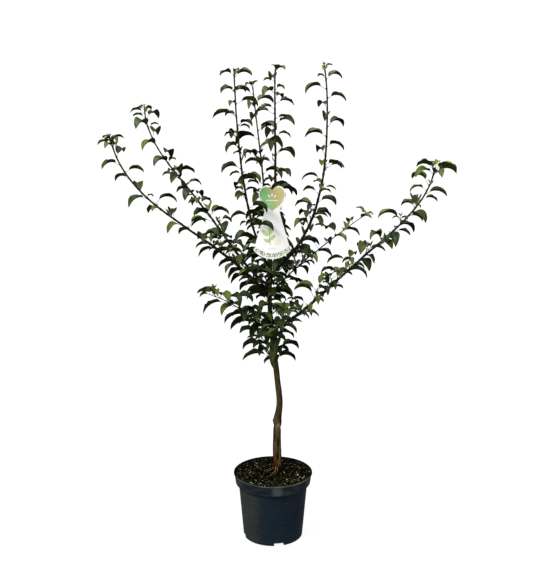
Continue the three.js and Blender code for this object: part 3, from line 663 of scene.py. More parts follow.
@dataclass(frozen=True)
class ShootBark:
    """The limbs' bark: dark brown at the foot, olive on the way and green at the growing tip."""

    old: Colour = srgb(32, 24, 13)
    olive: Colour = srgb(36, 31, 14)
    green: Colour = srgb(54, 56, 22)
    pale: Colour = srgb(96, 88, 64)

    def made(self) -> Material:
        """Colours by the age kept with the mesh, with pale cork spots.

        Returns:
            The material.
        """
        c = Coating("shoot_bark")
        age = c.tone() + (c.noise(60.0, 3.0) - 0.5) * 0.16
        base = c.mix(self.old, self.olive, age.rise(0.05, 0.55))
        base = c.mix(base, self.green, age.rise(0.62, 0.98))
        cork = c.spots(230.0).rise(0.17, 0.09)
        base = c.mix(base, self.pale, cork * (1 - age).rise(0.1, 0.6) * 0.55)
        return c.wear(Base_Color=base, Roughness=0.62, Specular_IOR_Level=0.25,
                      Normal=c.bump(c.noise(350.0, 3.0) + cork, 0.35))


@dataclass(frozen=True)
class LeafFace:
    """The upper side of a leaf, or its underside, with a net of veins."""

    name: str
    colour: Colour
    rough: float = 0.38
    shine: float = 0.16
    depth: float = 0.5

    def made(self) -> Material:
        """Side veins as ridges of a wave that runs forward from the midrib to the margin.

        Returns:
            The material.
        """
        c = Coating(self.name)
        off = (c.surface("Y") - 0.5).size() * 2.0
        wave = ((c.surface("X") * 9.0 - off * 2.2 - off * off * 1.2).math("FRACT") - 0.5).size() * 2.0
        relief = wave.rise(0.72, 1.0) * -0.7 + wave * 0.3 + c.noise(420.0, 3.0) * 0.5
        return c.wear(Base_Color=self.colour, Roughness=self.rough, Specular_IOR_Level=self.shine,
                      Normal=c.bump(relief, self.depth, 0.8))


@dataclass(frozen=True)
class Print:
    """The label's printed card: a tinted heart above, a leafy twig with a blossom, a dotted hem.

    Each leaf is given by its place across and up, its lean in radians and its length.
    """

    card: Colour = srgb(243, 241, 239)
    green: Colour = srgb(128, 188, 122)
    straw: Colour = srgb(198, 188, 124)
    leaf: Colour = srgb(178, 208, 142)
    deep: Colour = srgb(128, 150, 100)
    petal: Colour = srgb(240, 232, 206)
    speck: Colour = srgb(52, 62, 54)
    centre: float = -3.0
    heart_at: float = 1154.5
    heart_size: float = 33.8
    line_at: float = 1155.0
    fan: tuple[Row, ...] = ((-9, 1168, 0.5, 5.5), (0, 1172, 0, 5.5), (9, 1168, -0.5, 5.5))
    twig: tuple[Row, ...] = (
        (-21, 1052, 0.9, 14), (-15, 1028, 1.2, 12), (-5, 1062, -0.1, 16), (1, 1038, -0.9, 13))
    stalk_at: Pair = (-8.0, 1038.0)
    bloom_at: Pair = (17.0, 1024.0)
    bloom_reach: float = 5.6
    dash_at: float = 1003.0
    foot: float = 970.0
    sag: float = 26.0
    half: float = 59.0
    # Painted light: the card glows a little, which lifts the shadows on it.
    glow: float = 0.36

    def made(self, front: bool) -> Material:
        """White card with a faint glow of painted light, printed on the front only.

        Args:
            front: whether this is the printed side.

        Returns:
            The material.
        """
        c = Coating("label_front" if front else "label_back")
        colour: Any = self.card
        if front:
            x, z = c.axis("X") - self.centre, c.axis("Z")
            colour = self._twig(c, x, z, self._heart(c, x, z))
            dash = (z - self.dash_at).size().rise(1.2, 0.7) * x.size().rise(13.0, 12.0)
            colour = c.mix(colour, self.speck, dash * 0.4)
            edge = z - self.foot - x * x * (self.sag / self.half ** 2)
            band = edge.rise(3.0, 4.0) * edge.rise(19.0, 17.0)
            colour = c.mix(colour, self.speck, band * c.spots(240.0).rise(0.58, 0.42) * 0.95)
            colour = c.mix(colour, self.leaf, edge.rise(24.0, 4.0) * 0.25)
        # The glow is painted light.
        return c.wear(Base_Color=colour, Roughness=0.34, Specular_IOR_Level=0.5, Emission_Color=colour,
                      Emission_Strength=self.glow, Normal=c.bump(c.noise(90.0, 2.0), 0.25))

    def _heart(self, c: Coating, x: Sock, z: Sock) -> Sock:
        """The heart: where (p² + q² - 1)³ - p²q³ is below zero, p across and q up in heart sizes.

        Args:
            c: the coating.
            x: the place across.
            z: the place up.

        Returns:
            The colour, with the line and the fan of leaves in the heart.
        """
        p, q = x / self.heart_size, (z - self.heart_at) / self.heart_size
        ring = p * p + q * q - 1.0
        inside = (ring * ring * ring - p * p * q * q * q).rise(0.012, -0.012)
        tint = c.mix(self.green, self.straw, (x + (z - self.heart_at) * 0.35).rise(-22.0, 26.0))
        tint = c.mix(tint, self.card, c.noise(25.0, 2.0).rise(0.45, 0.8) * 0.3)
        colour = c.mix(self.card, tint, inside)
        line = (z - self.line_at).size().rise(1.5, 0.8) * x.size().rise(20.0, 18.0)
        colour = c.mix(colour, self.card, line)
        for place in self.fan:
            colour = c.mix(colour, self.card, self._leaf(x, z, place)[0] * 0.8)
        return colour

    def _twig(self, c: Coating, x: Sock, z: Sock, colour: Sock) -> Sock:
        """The twig: its leaves with their ribs, its bent stalk and a blossom of five round petals.

        Args:
            c: the coating.
            x: the place across.
            z: the place up.
            colour: what lies under it.

        Returns:
            The colour with the twig on it.
        """
        for place in self.twig:
            shape, rib = self._leaf(x, z, place)
            colour = c.mix(colour, c.mix(self.leaf, self.deep, rib), shape * 0.9)
        up = z - self.stalk_at[1]
        stalk = (x - self.stalk_at[0] - up * up * 0.006).size().rise(1.1, 0.6)
        colour = c.mix(colour, self.deep, stalk * up.rise(-24.0, -22.0) * up.rise(20.0, 16.0))
        for turn in turns(5):
            across = x - (self.bloom_at[0] + self.bloom_reach * math.sin(turn))
            above = z - (self.bloom_at[1] + self.bloom_reach * math.cos(turn))
            away = across * across + above * above
            colour = c.mix(colour, c.mix(self.petal, self.leaf, away.rise(12.0, 24.0)), away.rise(26.0, 22.0))
        return colour

    @staticmethod
    def _leaf(x: Sock, z: Sock, place: Row) -> tuple[Sock, Sock]:
        """A pointed leaf: the overlap of two circles either side of its rib.

        Args:
            x: the place across.
            z: the place up.
            place: where its middle is across and up, its lean in radians and its length.

        Returns:
            1 inside the leaf, and 1 on its rib.
        """
        across, up, lean, long = place
        ca, sa = math.cos(lean), math.sin(lean)
        over = (x - across) * ca + (z - up) * sa
        ahead = (z - up) * ca - (x - across) * sa
        reach = over.size() + 0.75 * long
        shape = (reach * reach + ahead * ahead).rise((1.32 * long) ** 2, (1.25 * long) ** 2)
        return shape, over.size().rise(0.9, 0.3)


# The pot and what is in it

@dataclass
class Pot:
    """A round nursery pot with a collar and four drainage notches at its foot."""

    base: float = 99.5
    wall_top: float = 115.5
    collar_foot: float = 125.5
    lip: float = 132.0
    collar_z: float = 187.0
    shoulder: float = 188.5
    seat: float = 192.5
    height: float = 225.0
    wall: float = 2.4
    lip_wall: float = 3.4
    floor: float = 3.0
    notch_first: float = -78.0
    notch_width: float = 34.0
    notch_height: float = 10.0
    notch_depth: float = 20.0
    inside_columns: int = 9
    outside_columns: int = 57

    def wall_radius(self, z: float) -> float:
        """The wall's outer radius at a height."""
        return lerp(self.base, self.wall_top, z / self.collar_z)

    def _profile(self) -> tuple[Array, Array, Array, Array]:
        """The half-section, from under the middle up the outside and down the inside.

        The step under the collar is given outwards and upwards from the wall's top, and the
        rolled lip from the rim's outer edge.

        Returns:
            Radius and height of each point, the same where a notch is cut, which points lie on
            the notch's flat back, and which are on the inside of the pot.
        """
        top, back, floor = self.notch_height, self.base - self.notch_depth, self.floor
        inner, roof = back - self.wall, top + self.wall
        plain = [(30, 0), (60, 0), (back, 0), (self.base - 2, 0), (self.base - 0.6, 0.5),
                 (self.base, 1.4), (self.wall_radius(top), top)]
        cut = [*plain[:3], (back, 3), (back, 6), (back, top), plain[-1]]
        plain += [(self.wall_radius(z), z) for z in np.linspace(16, self.collar_z - 2, 22)]
        step = ((0.1, -0.4), (0.9, 0.2), (5.0, 1.2), (8.9, 2.0), (9.9, 2.6))
        plain += [(self.wall_top + out, self.collar_z + up) for out, up in step]
        foot, end = (self.collar_foot + 0.3, self.seat - 1.7), (self.lip - 2.4, self.height - 6.4)
        plain += [(lerp(foot[0], end[0], k), lerp(foot[1], end[1], k)) for k in (0, *np.linspace(0.12, 1, 9))]
        roll = ((-2.0, -5.1), (-1.3, -4.3), (-0.4, -3.8), (0, -3), (0, -1), (-0.4, -0.3), (-1.1, 0),
                (0.8 - self.lip_wall, 0), (-self.lip_wall, -0.8))
        plain += [(self.lip + out, self.height + up) for out, up in roll]
        outside = len(plain)
        plain += [(self.collar_foot - self.wall, self.seat), (self.wall_top - self.wall, self.shoulder),
                  (self.wall_radius(roof) - self.wall, roof), (self.wall_radius(floor) - self.wall, floor),
                  (inner, floor), (60, floor)]
        cut += plain[len(cut):outside + 3] + [(inner, roof), (inner, floor), (60, floor)]
        count = np.arange(len(plain))
        flat = ((count >= 2) & (count <= 5)) | ((count >= outside + 3) & (count <= outside + 4))
        return np.array(plain, float), np.array(cut, float), flat, count >= outside

    def skin(self) -> Skin:
        """The pot as one closed surface turned from its half-section.

        A column between two notches stands at a share of the angle between their sides. One in a
        notch stands at a share u of its width, so at the arcsine of u × half width / radius,
        which keeps its sides parallel. Two columns share each side's angle, one whole and one
        cut, and the faces between them are the notch's cheeks.

        Returns:
            The whole shell.
        """
        plain, cut, flat, inside = self._profile()
        half = self.notch_width / 2
        u = np.linspace(-1, 1, self.inside_columns)
        q = np.linspace(0, 1, self.outside_columns)
        columns = []
        for k in range(4):
            middle = math.radians(self.notch_first + 90 * k)
            turn = middle + np.arcsin(u[None] * half / np.maximum(cut[:, :1], 60))
            r = np.broadcast_to(cut[:, :1], turn.shape)
            r = np.where(flat[:, None], np.hypot(r, u[None] * half), r)
            columns.append((turn, r, np.broadcast_to(cut[:, 1:], turn.shape)))
            start = np.arcsin(half / np.maximum(plain[:, 0], 60))
            turn = middle + lerp(start[:, None], (np.pi / 2 - start)[:, None], q[None])
            stepped = inside[:, None] & ((q < 0.02) | (q > 0.98))[None]
            r = np.where(stepped, cut[:, :1], plain[:, :1])
            columns.append((turn, r, np.where(stepped, cut[:, 1:], plain[:, 1:])))
        turn, r, z = (np.concatenate(part, axis=1) for part in zip(*columns))
        ends = np.array([[0.0, 0, 0]]), np.array([[0.0, 0, self.floor]])
        return Skin.grid(polar(turn, r, z)[None], *ends)

    def build(self) -> None:
        """Makes the pot and dresses it."""
        self.skin().piece("pot_shell", [PotPlastic().made()], "pot", 34.0, ["pot"])


@dataclass
class Soil:
    """Potting mix up to just under the rim, with loose bark, grit and moss on it."""

    pot: Pot
    stem: "Stem"
    top: float = 219.0
    foot: float = 14.0
    gap: float = 0.4
    reach: float = 124.5
    crumbs: int = 1900
    fibres: int = 800
    tufts: int = 420

    def edge(self, z: float) -> float:
        """How far the mix reaches at a height, just inside the pot.

        Args:
            z: the height.

        Returns:
            The radius there.
        """
        if z <= self.pot.shoulder:
            return self.pot.wall_radius(z) - self.pot.wall - self.gap
        share = (z - self.pot.seat) / (self.pot.height - self.pot.seat)
        return lerp(self.pot.collar_foot - self.pot.wall, self.pot.lip - self.pot.lip_wall, share) - self.gap

    def surface(self, x: Array, y: Array) -> Array:
        """Height of the mix: clods by noise at four scales, banked up a little at the stem.

        Args:
            x: places across.
            y: places back.

        Returns:
            The height at each.
        """
        flat = np.stack([x, y, np.zeros_like(x)], axis=-1)
        clods = Grain(41).layers(flat / 30, 2) * 1.3 + Grain(43).layers(flat / 8.5, 2) * 1.5
        foot = self.stem.middle(np.array([self.top]))[0]
        bank = bell(np.hypot(x - foot[0], y - foot[1]), 24) * 2.5
        edge = smooth_step(118, 128, np.hypot(x, y)) * 2.0
        return self.top + np.clip(clods + bank - edge, -6.0, 4.0)

    def skin(self) -> Skin:
        """The body of the mix, closed below, with its bumpy face above.

        Returns:
            The whole body.
        """
        pot, edge = self.pot, self.edge
        lower = np.array([(40.0, self.foot), (edge(self.foot), self.foot),
                          (edge(pot.shoulder) - 0.4, pot.shoulder), (edge(pot.seat), pot.seat + 0.4),
                          (edge(203.0), 203.0)])
        turn, face = turns(240), np.linspace(edge(211.0) - 0.6, 2.0, 72)[:, None]
        walls = polar(turn, lower[:, :1], lower[:, 1:])
        top = self.surface(face * np.cos(turn), face * np.sin(turn))
        peak = self.surface(np.zeros(1), np.zeros(1))[0]
        rings = np.concatenate([walls, polar(turn, face, top)])
        return Skin.grid(rings[None], np.array([[0.0, 0, self.foot]]), np.array([[0.0, 0, peak]]))

    def chips(self, count: int, seed: int, size: Pair, coats: Sequence[float],
              front: bool = False, patch: Triple | None = None,
              breadth: Pair = (0.3, 0.8)) -> Skin:
        """Loose bits that lie half sunk in the mix: squashed, dented eggs turned any way.

        Args:
            count: how many.
            seed: of their places and shapes.
            size: least and greatest half-length.
            coats: the share of each coat, one in all.
            front: whether they keep to the front edge.
            patch: a place and how far they scatter round it.
            breadth: least and greatest breadth as a share of the length.

        Returns:
            All of them as one skin.
        """
        rng = np.random.default_rng(seed)
        r = np.sqrt(rng.uniform(0.0, 1.0, count)) * self.reach
        turn = rng.uniform(0, 2 * np.pi, count)
        if front:
            r = self.reach - np.abs(rng.normal(0, 9.0, count))
            turn = np.radians(-90) + rng.normal(0, 0.75, count)
        x, y = r * np.cos(turn), r * np.sin(turn)
        if patch:
            x, y = patch[0] + rng.normal(0, patch[2], count), patch[1] + rng.normal(0, patch[2] * 0.7, count)
            inside = np.minimum(1, (self.reach - 1.5) / np.hypot(x, y))
            x, y = x * inside, y * inside
        long = size[0] + (size[1] - size[0]) * rng.uniform(0, 1, count) ** 2.2
        slim = long * rng.uniform(breadth[0], breadth[1], count)
        thick = long * rng.uniform(0.2, 0.5, count)
        heading = rng.uniform(0, 2 * np.pi, count)
        tilt = rng.normal(0, 0.6, count)
        ahead = polar(heading, np.cos(tilt), np.sin(tilt))
        side = polar(heading + np.pi / 2, 1.0, 0.0)
        up = np.cross(ahead, side)
        latitude = np.array([-0.9, -0.15, 0.6])[:, None]
        egg = polar(turns(6), np.sqrt(1 - latitude ** 2), latitude) * np.ones((count, 1, 1, 1))
        egg[..., :2] *= rng.uniform(0.72, 1.15, (count, 3, 6))[..., None]
        egg *= np.stack([long, slim, thick], -1)[:, None, None]
        centre = np.stack([x, y, self.surface(x, y) + thick * rng.uniform(-0.1, 0.7, count)], -1)
        rings = centre[:, None, None] + np.einsum("nrck,nkd->nrcd", egg, np.stack([ahead, side, up], 1))
        foot = centre - up * thick[:, None]
        tip = centre + up * (thick * rng.uniform(0.8, 1.1, count))[:, None]
        lid = self.pot.height - 2.0
        rings[..., 2] = np.minimum(rings[..., 2], lid)
        tip[:, 2] = np.minimum(tip[:, 2], lid)
        far = np.maximum(np.hypot(rings[..., 0], rings[..., 1]), 1)
        rings[..., :2] *= np.minimum(1, (self.reach + 1.7) / far)[..., None]
        return Skin.grid(rings, foot, tip, rng.choice(len(coats), count, p=coats)[:, None])

    def build(self) -> None:
        """Makes the mix, the loose bits on it and the moss along its front edge."""
        self.skin().piece("soil_bed", [Mulch().made()], "soil", nodes=["soil"])
        coats = [Flat("bark_chip", srgb(58, 50, 30), 0.9, 0.05), Flat("dark_chip", srgb(3, 2, 1), 0.9, 0.01),
                 Flat("grey_chip", srgb(134, 134, 108), 0.9, 0.1), Flat("grit", srgb(240, 238, 228), 0.6),
                 Flat("red_chip", srgb(96, 60, 38), 0.9, 0.1)]
        bits = Skin.joined([
            self.chips(self.crumbs, 7, (1.2, 4.4), (0.32, 0.63, 0.04, 0.006, 0.004)),
            self.chips(self.fibres, 29, (2.0, 6.0), (0.24, 0.46, 0.28, 0.02, 0.0), breadth=(0.1, 0.24)),
            self.chips(90, 17, (1.5, 4.5), (0.2, 0.3, 0.05, 0.0, 0.45), patch=(-76.0, 4.0, 18.0)),
            self.chips(12, 23, (2.4, 4.6), (0.0, 0.0, 0.2, 0.8, 0.0), patch=(-66.0, -104.0, 14.0))])
        bits.piece("soil_chips", [coat.made() for coat in coats], "soil", 50.0)
        greens = [Flat("moss", srgb(84, 90, 38), 0.95, 0.1, 0.8),
                  Flat("dark_moss", srgb(26, 34, 10), 0.95, 0.1, 0.8)]
        moss = self.chips(self.tufts, 11, (1.2, 3.6), (0.42, 0.58), front=True)
        moss.piece("soil_moss", [coat.made() for coat in greens], "soil")


# The stem

def smooth_through(values: Sequence[float], t: Array) -> Array:
    """A smooth line through evenly spaced values, a cubic between each two of them.

    Args:
        values: what the line passes through.
        t: shares of the way from the first to the last.

    Returns:
        The line's value at each share.
    """
    v = np.asarray(values, float)
    n = len(v) - 1
    s = np.clip(t, 0, 1) * n
    i = np.minimum(np.floor(s).astype(int), n - 1)
    f = s - i
    a, b, c, d = v[np.maximum(i - 1, 0)], v[i], v[i + 1], v[np.minimum(i + 2, n)]
    square, cube = 2 * a - 5 * b + 4 * c - d, 3 * b - a - 3 * c + d
    return 0.5 * (2 * b + (c - a) * f + square * f ** 2 + cube * f ** 3)


@dataclass
class Stem:
    """The grafted stem, from its root flare to where the leader starts.

    The knob, notch, overhang and undercut are each a height, a reach along the stem and a swell.
    A root is its heading in degrees, length, radius and sideways bend.
    """

    foot: float = 214.3
    top: float = 1030.0
    lean_x: Row = (15.5, 13.5, 14.5, 22, 14.5, 6, -3.5, -10, -10, -8, -3)
    lean_y: Pair = (45.5, -6.0)
    radius: Row = (14.5, 14.1, 12.4, 10.4, 9.9, 9.3, 8.3, 7.4, 6.7, 5.9, 5)
    flare_from: float = 219.3
    flare_reach: float = 16.0
    flare_swell: float = 7.0
    flare_roots: int = 3
    flare_turn: float = 225.0
    graft_z: float = 402.0
    graft_reach: float = 20.0
    graft_swell: float = 3.2
    graft_side: float = 190.0
    lip_side: float = -10.0
    knob: Triple = (394.0, 7.0, 2.6)
    notch: Triple = (374.0, 5.0, -2.4)
    overhang: Triple = (388.0, 13.0, 1.4)
    undercut: Triple = (368.0, 6.0, -1.2)
    buried: float = 9.0
    corners: int = 72
    roots: tuple[Row, ...] = (
        (247.0, 74.0, 1.9, 7.0), (231.0, 44.0, 1.5, -4.0), (262.0, 34.0, 1.3, 4.0))

    def middle(self, z: Array) -> Array:
        """The stem's middle at each height."""
        t = (z - self.foot) / (self.top - self.foot)
        return np.stack([smooth_through(self.lean_x, t), lerp(self.lean_y[0], self.lean_y[1], t), z], -1)

    def thick(self, z: Array) -> Array:
        """The stem's radius at each height, without its flare and burl."""
        return smooth_through(self.radius, (z - self.foot) / (self.top - self.foot))

    def skin(self, knots: Sequence[Triple]) -> Skin:
        """The bark's surface.

        The radius at height z and turn a is the plain radius + the flare, which dies away with
        height and swells on three roots + the graft's burl on one side, with its knob, notch and
        overhang + a collar at each limb + fissures, which are noise drawn out along the stem and
        cut only inwards. The UVs are the compass side: a half and half the cosine and sine of a.

        Args:
            knots: height, turn in radians and swell of each limb's collar.

        Returns:
            The stem, closed at both ends.
        """
        z = np.concatenate([np.linspace(self.foot - self.buried, 480, 118), np.linspace(484, self.top, 130)])
        zz, aa = np.meshgrid(z, turns(self.corners), indexing="ij")
        above = np.maximum(zz - self.flare_from, 0)
        roots = 0.6 + 0.4 * np.cos(self.flare_roots * (aa - math.radians(self.flare_turn)))
        r = self.thick(zz) + np.exp(-above / self.flare_reach) * self.flare_swell * roots
        near = bell(zz - self.graft_z, self.graft_reach)
        burl = np.maximum(0, np.cos(aa - math.radians(self.graft_side)))
        rough = Grain(5).layers(polar(aa, 2, zz / 22) * 1.5)
        r += near * self.graft_swell * burl * (0.85 + 0.15 * rough)
        for turn, lumps in ((self.graft_side, (self.knob, self.notch)),
                            (self.lip_side, (self.overhang, self.undercut))):
            for height, reach, swell in lumps:
                r += swell * bell(zz - height, reach) * bell(off_turn(aa, math.radians(turn)), 0.7)
        for height, turn, swell in knots:
            r += swell * bell(zz - height + 2.5, 6.0) * bell(off_turn(aa, turn), 0.75)
        old = 1 - smooth_step(330, 470, zz) * 0.62
        fissure = Grain(9).layers(polar(aa, 4.5, zz / 16))
        r -= np.clip(fissure * 1.1, -0.1, 1) * old
        r += Grain(13).layers(polar(aa, 1, zz / 30), 2) * 0.22
        r += smooth_step(0.55, 0.8, Grain(21).at(polar(aa, 1.3, zz / 7))) * 0.4
        rings = (self.middle(zz[:, 0])[:, None] + polar(aa, 1, 0) * r[..., None])[None]
        foot, tip = (self.middle(np.array([h])) for h in (self.foot - self.buried, self.top + 1.2))
        return Skin.grid(rings, foot, tip, uv=0.5 + 0.5 * polar(aa, 1, 0)[..., :2])

    def surface_roots(self, soil: Soil) -> Skin:
        """The roots that show: each leaves the flare, dips to the mix and runs on half sunk in it.

        The way at share t of the length lies straight out from the stem, with a sideways bend of
        sin(π t), and the height falls from the flare to the mix in the first third.

        Args:
            soil: what they lie in.

        Returns:
            The roots as one skin.
        """
        t = np.linspace(0, 1, 22)
        skins = []
        for heading, length, thick, bend in self.roots:
            turn = math.radians(heading)
            out = np.array([math.cos(turn), math.sin(turn)])
            across = np.array([-out[1], out[0]])
            start = self.middle(np.array([self.flare_from]))[0, :2] + out * (self.radius[0] - 1.0)
            flat = start + out * (length * t)[:, None] + across * (bend * np.sin(np.pi * t))[:, None]
            ground = soil.surface(flat[:, 0], flat[:, 1])
            radius = thick * (1 - 0.75 * t)
            high = ground + radius * 0.5 + 7.0 * (1 - smooth_step(0.0, 0.3, t))
            line = np.concatenate([flat, high[:, None]], 1)
            ahead = unit(np.gradient(line, axis=0))
            skins.append(tube(line[None], -square_to(ahead)[None], ahead[None], radius[None], 8))
        return Skin.joined(skins)

    def build(self, limbs: Sequence["Limb"], soil: Soil) -> None:
        """Makes the stem with a collar for each limb, and the roots at its foot.

        Args:
            limbs: the limbs that leave it.
            soil: what it stands in.
        """
        knots = [(limb.spec.foot, limb.heading(0.0), 0.25 * limb.spec.radius[0]) for limb in limbs
                 if limb.spec.foot < self.top]
        self.skin(knots).piece("stem_bark", [StemBark().made()], "bark", nodes=["trunk"])
        pale = Flat("root_bark", srgb(136, 116, 78), 0.85, 0.05, 0.5).made()
        self.surface_roots(soil).piece("surface_roots", [pale], "bark")


# Growth

class Dice:
    """A repeatable throw between 0 and 1."""

    def __init__(self, seed: int) -> None:
        """Rolls three times first, since small seeds start alike.

        Args:
            seed: what the throws follow from.
        """
        self.state = seed
        for _ in range(3):
            self.roll()

    def roll(self) -> float:
        """The next throw."""
        self.state = self.state * 16807 % 2147483647
        return self.state / 2147483647

    def spread(self, half: float) -> float:
        """A throw from minus half to half."""
        return (2 * self.roll() - 1) * half


@dataclass(frozen=True)
class LimbSpec:
    """One limb: its line on the stem, and how its leaves are dealt out."""

    name: str
    foot: float
    heading: Pair
    rise: Row
    length: float
    radius: Pair
    bare: float
    split: float
    pitch: float
    size: Pair
    spur: float
    seed: int
    turn: float
    step: float
    first: float
    tip: tuple[float, int, float]
    again: int
    reach: float = 1.0


LIMBS = (
    LimbSpec("left_low", 823, (-157, -152), (52, 38, 41, 81), 754, (4.9, 2.1), 45, 0.52,
             27.3, (0.98, 0.98), 0.25, 2035, 222, 215.6, 0.95, (0.79, 7, 0.25), 7524),
    LimbSpec("right_low", 716, (-13, -22), (24, 45, 44, 83), 764, (5.3, 2.1), 60, 0.52,
             28.2, (1.18, 1.18), 0.3, 1110, 292, 137.5, 0.91, (1.2, 6, 0.82), 5030),
    LimbSpec("right_up", 902, (-10, -116), (40, 64, 76, 65), 741, (4.9, 2), 35, 0.5,
             29.5, (0.98, 0.98), 0.25, 628, 231, 221.5, 0.58, (0.4, 3, 1.4), 7524),
    LimbSpec("left_back", 864, (141, 159), (18, 47, 46, 92), 766, (4.7, 2), 40, 0.52,
             35.4, (1.32, 1.32), 0.25, 1081, 108, 173.8, 0.4, (0.7, 6, 0.2), 7507),
    LimbSpec("left_up", 920, (-122, -121), (47, 68, 80, 87), 668, (4.3, 2), 30, 0,
             32.9, (0.98, 0.94), 0.15, 295, 229, 213.8, 0.69, (0.92, 4, 0.68), 7568),
    LimbSpec("back_up", 939, (107, 107), (72, 73, 67, 70), 589, (4, 1.9), 30, 0,
             29.6, (1.25, 1.25), 0.1, 1226, 30, 145.8, 0.79, (0.7, 3, 1), 53),
    LimbSpec("leader", 1030, (-73, -109), (58, 84, 84, 103), 534, (4.8, 2.1), 0, 0,
             30.5, (1.03, 1.03), 0.15, 3048, 100, 216.5, 0.72, (0.5, 3, 1.3), 5052),
    LimbSpec("right_back", 825, (38, 40), (49, 28, 25, 17), 495, (2.8, 1.3), 0, 0,
             29.2, (1.05, 0.98), 0.2, 1194, 125, 219.4, 0.37, (0.55, 3, 0.6), 7552),
    LimbSpec("left_short", 716, (-137, -131), (15, 39, 31, 24), 322, (3, 0.9), 0, 0,
             16.2, (1.16, 1.09), 0.2, 2555, 310, 160.3, 0.56, (0.7, 3, 0.6), 34),
    LimbSpec("left_foot", 615, (137, 139), (8, 41, 65, 42), 155, (2.4, 1), 0, 0,
             14.5, (1.16, 1.16), 0, 3196, 237, 139.4, 1.24, (0.9, 2, 0.4), 7605),
    LimbSpec("back", 750, (95, 88), (35, 45, 42, 60), 430, (3.8, 1.2), 0, 0,
             32, (1.22, 1.22), 0.25, 223, 232, 177.7, 0.62, (0.9, 4, 0.8), 2517),
    LimbSpec("front", 600, (-88, -80), (30, 44, 40, 40), 390, (3, 1), 0, 0,
             30.8, (1.16, 1.05), 0.2, 2432, 88, 178.8, 1.32, (0.8, 4, 0.7), 5017),
)


def spur_spec(k: int) -> LimbSpec:
    """One of the short leafy spurs round the stem, each turned on from the one below.

    Args:
        k: its number, from the lowest.

    Returns:
        The spur as a limb.
    """
    seed = 1419 + 7 * k
    dice = Dice(seed)
    heading = 95 + 144 * k
    veer = dice.spread(20)
    length = lerp(60, 100, dice.roll())
    return LimbSpec(f"spur_{k + 1}", lerp(606, 890, k / (SPURS - 1)), (heading, heading + veer),
                    (20, 40, 45, 50), length, (2.2, 1.0), 0, 0, 21.3, (1.05, 1.05), 0, seed,
                    dice.roll() * 360, 144, 0.6, (0.7, 3, 0.6), 7539 + 7 * k)


def later_spec(spec: LimbSpec) -> LimbSpec:
    """The limb's second flush of smaller leaves, whose way of growing is thrown with its own seed.

    Args:
        spec: the limb in its first flush.

    Returns:
        The limb in its second.
    """
    dice = Dice(spec.again)
    small, pitch, turn, step, first, reach = (lerp(lo, hi, dice.roll()) for lo, hi in (
        (0.65, 1.05), (18, 36), (0, 360), (135, 220), (0.3, 1.2), (0.4, 1.0)))
    crowded = 5 if spec.tip[1] > 4 else 0
    return replace(spec, pitch=pitch, size=(spec.size[0] * small, spec.size[1] * small), seed=spec.again,
                   turn=turn, step=step, first=first, spur=0.3, bare=round(spec.bare * 0.6),
                   tip=(spec.tip[0], crowded, 0.5), reach=reach)


def cubic(values: Sequence[float], t: float) -> float:
    """The cubic that passes through four evenly spaced values.

    Args:
        values: the four values.
        t: a share of the way from the first to the last.

    Returns:
        The value there.
    """
    at = (0, 1 / 3, 2 / 3, 1)
    total = 0.0
    for k in range(4):
        weight = values[k]
        for j in range(4):
            if j != k:
                weight *= (t - at[j]) / (at[k] - at[j])
        total += weight
    return total


class Limb:
    """A limb's middle line, from its foot in the stem to its growing tip."""

    def __init__(self, spec: LimbSpec, stem: Stem) -> None:
        """Walks from the stem's middle in short straight steps by heading and rise.

        Args:
            spec: the limb.
            stem: what it grows from.
        """
        self.spec = spec
        self.length = spec.length
        shares = (np.arange(STEPS) + 0.5) / STEPS
        moves = np.array([self.direction(t) for t in shares]) * self.length / STEPS
        start = stem.middle(np.array([float(spec.foot)]))
        self.points = np.concatenate([start, start + np.cumsum(moves, axis=0)])
        self.cut = spec.length * spec.split

    def heading(self, t: float) -> float:
        """Compass heading in radians at a share of the length."""
        return math.radians(lerp(*self.spec.heading, t))

    def direction(self, t: float) -> Array:
        """The way ahead at a share of the length."""
        a, r = self.heading(t), math.radians(cubic(self.spec.rise, t))
        return np.array([math.cos(r) * math.cos(a), math.cos(r) * math.sin(a), math.sin(r)])

    def at(self, s: float) -> Array:
        """The point at a distance along the limb.

        Args:
            s: the distance.

        Returns:
            The point.
        """
        u = min(max(s / self.length, 0), 1) * STEPS
        i = min(int(u), STEPS - 1)
        return lerp(self.points[i], self.points[i + 1], u - i)

    def thick(self, s: Any) -> Any:
        """The limb's radius at a distance along it."""
        share = np.clip(np.asarray(s, float) / self.length, 0, 1)
        return lerp(self.spec.radius[0], self.spec.radius[1], share ** 0.8)

    def part(self, s: float) -> int:
        """Which of the limb's two leafy parts holds a place."""
        return int(bool(self.cut) and s > self.cut)

    def settle(self, s: float) -> float:
        """Keeps a leaf's foot off the cut between the two parts."""
        return self.cut + 5 if self.cut and abs(s - self.cut) < 5 else s


def sideways(tangent: Array, heading: float, turn: float) -> Array:
    """The direction square to a stem at a turn round it in degrees, counted from its left."""
    left = np.array([-math.sin(heading), math.cos(heading), 0.0])
    return left * math.cos(math.radians(turn)) + np.cross(tangent, left) * math.sin(math.radians(turn))


@dataclass(frozen=True)
class LeafHabit:
    """Middle and spread of each of a leaf's sizes, angles in degrees."""

    petiole: Pair = (14, 10)
    blade: Pair = (58, 8)
    half: Pair = (14.5, 2)
    rise: Triple = (32, 22, 9)
    droop: Pair = (-62, 14)
    young_rise: float = 30
    young_droop: float = 45
    drop: float = 4
    lean: float = 0.3
    upright: float = 0.15
    fold: Pair = (40, 8)
    roll: float = 16


HABIT = LeafHabit()


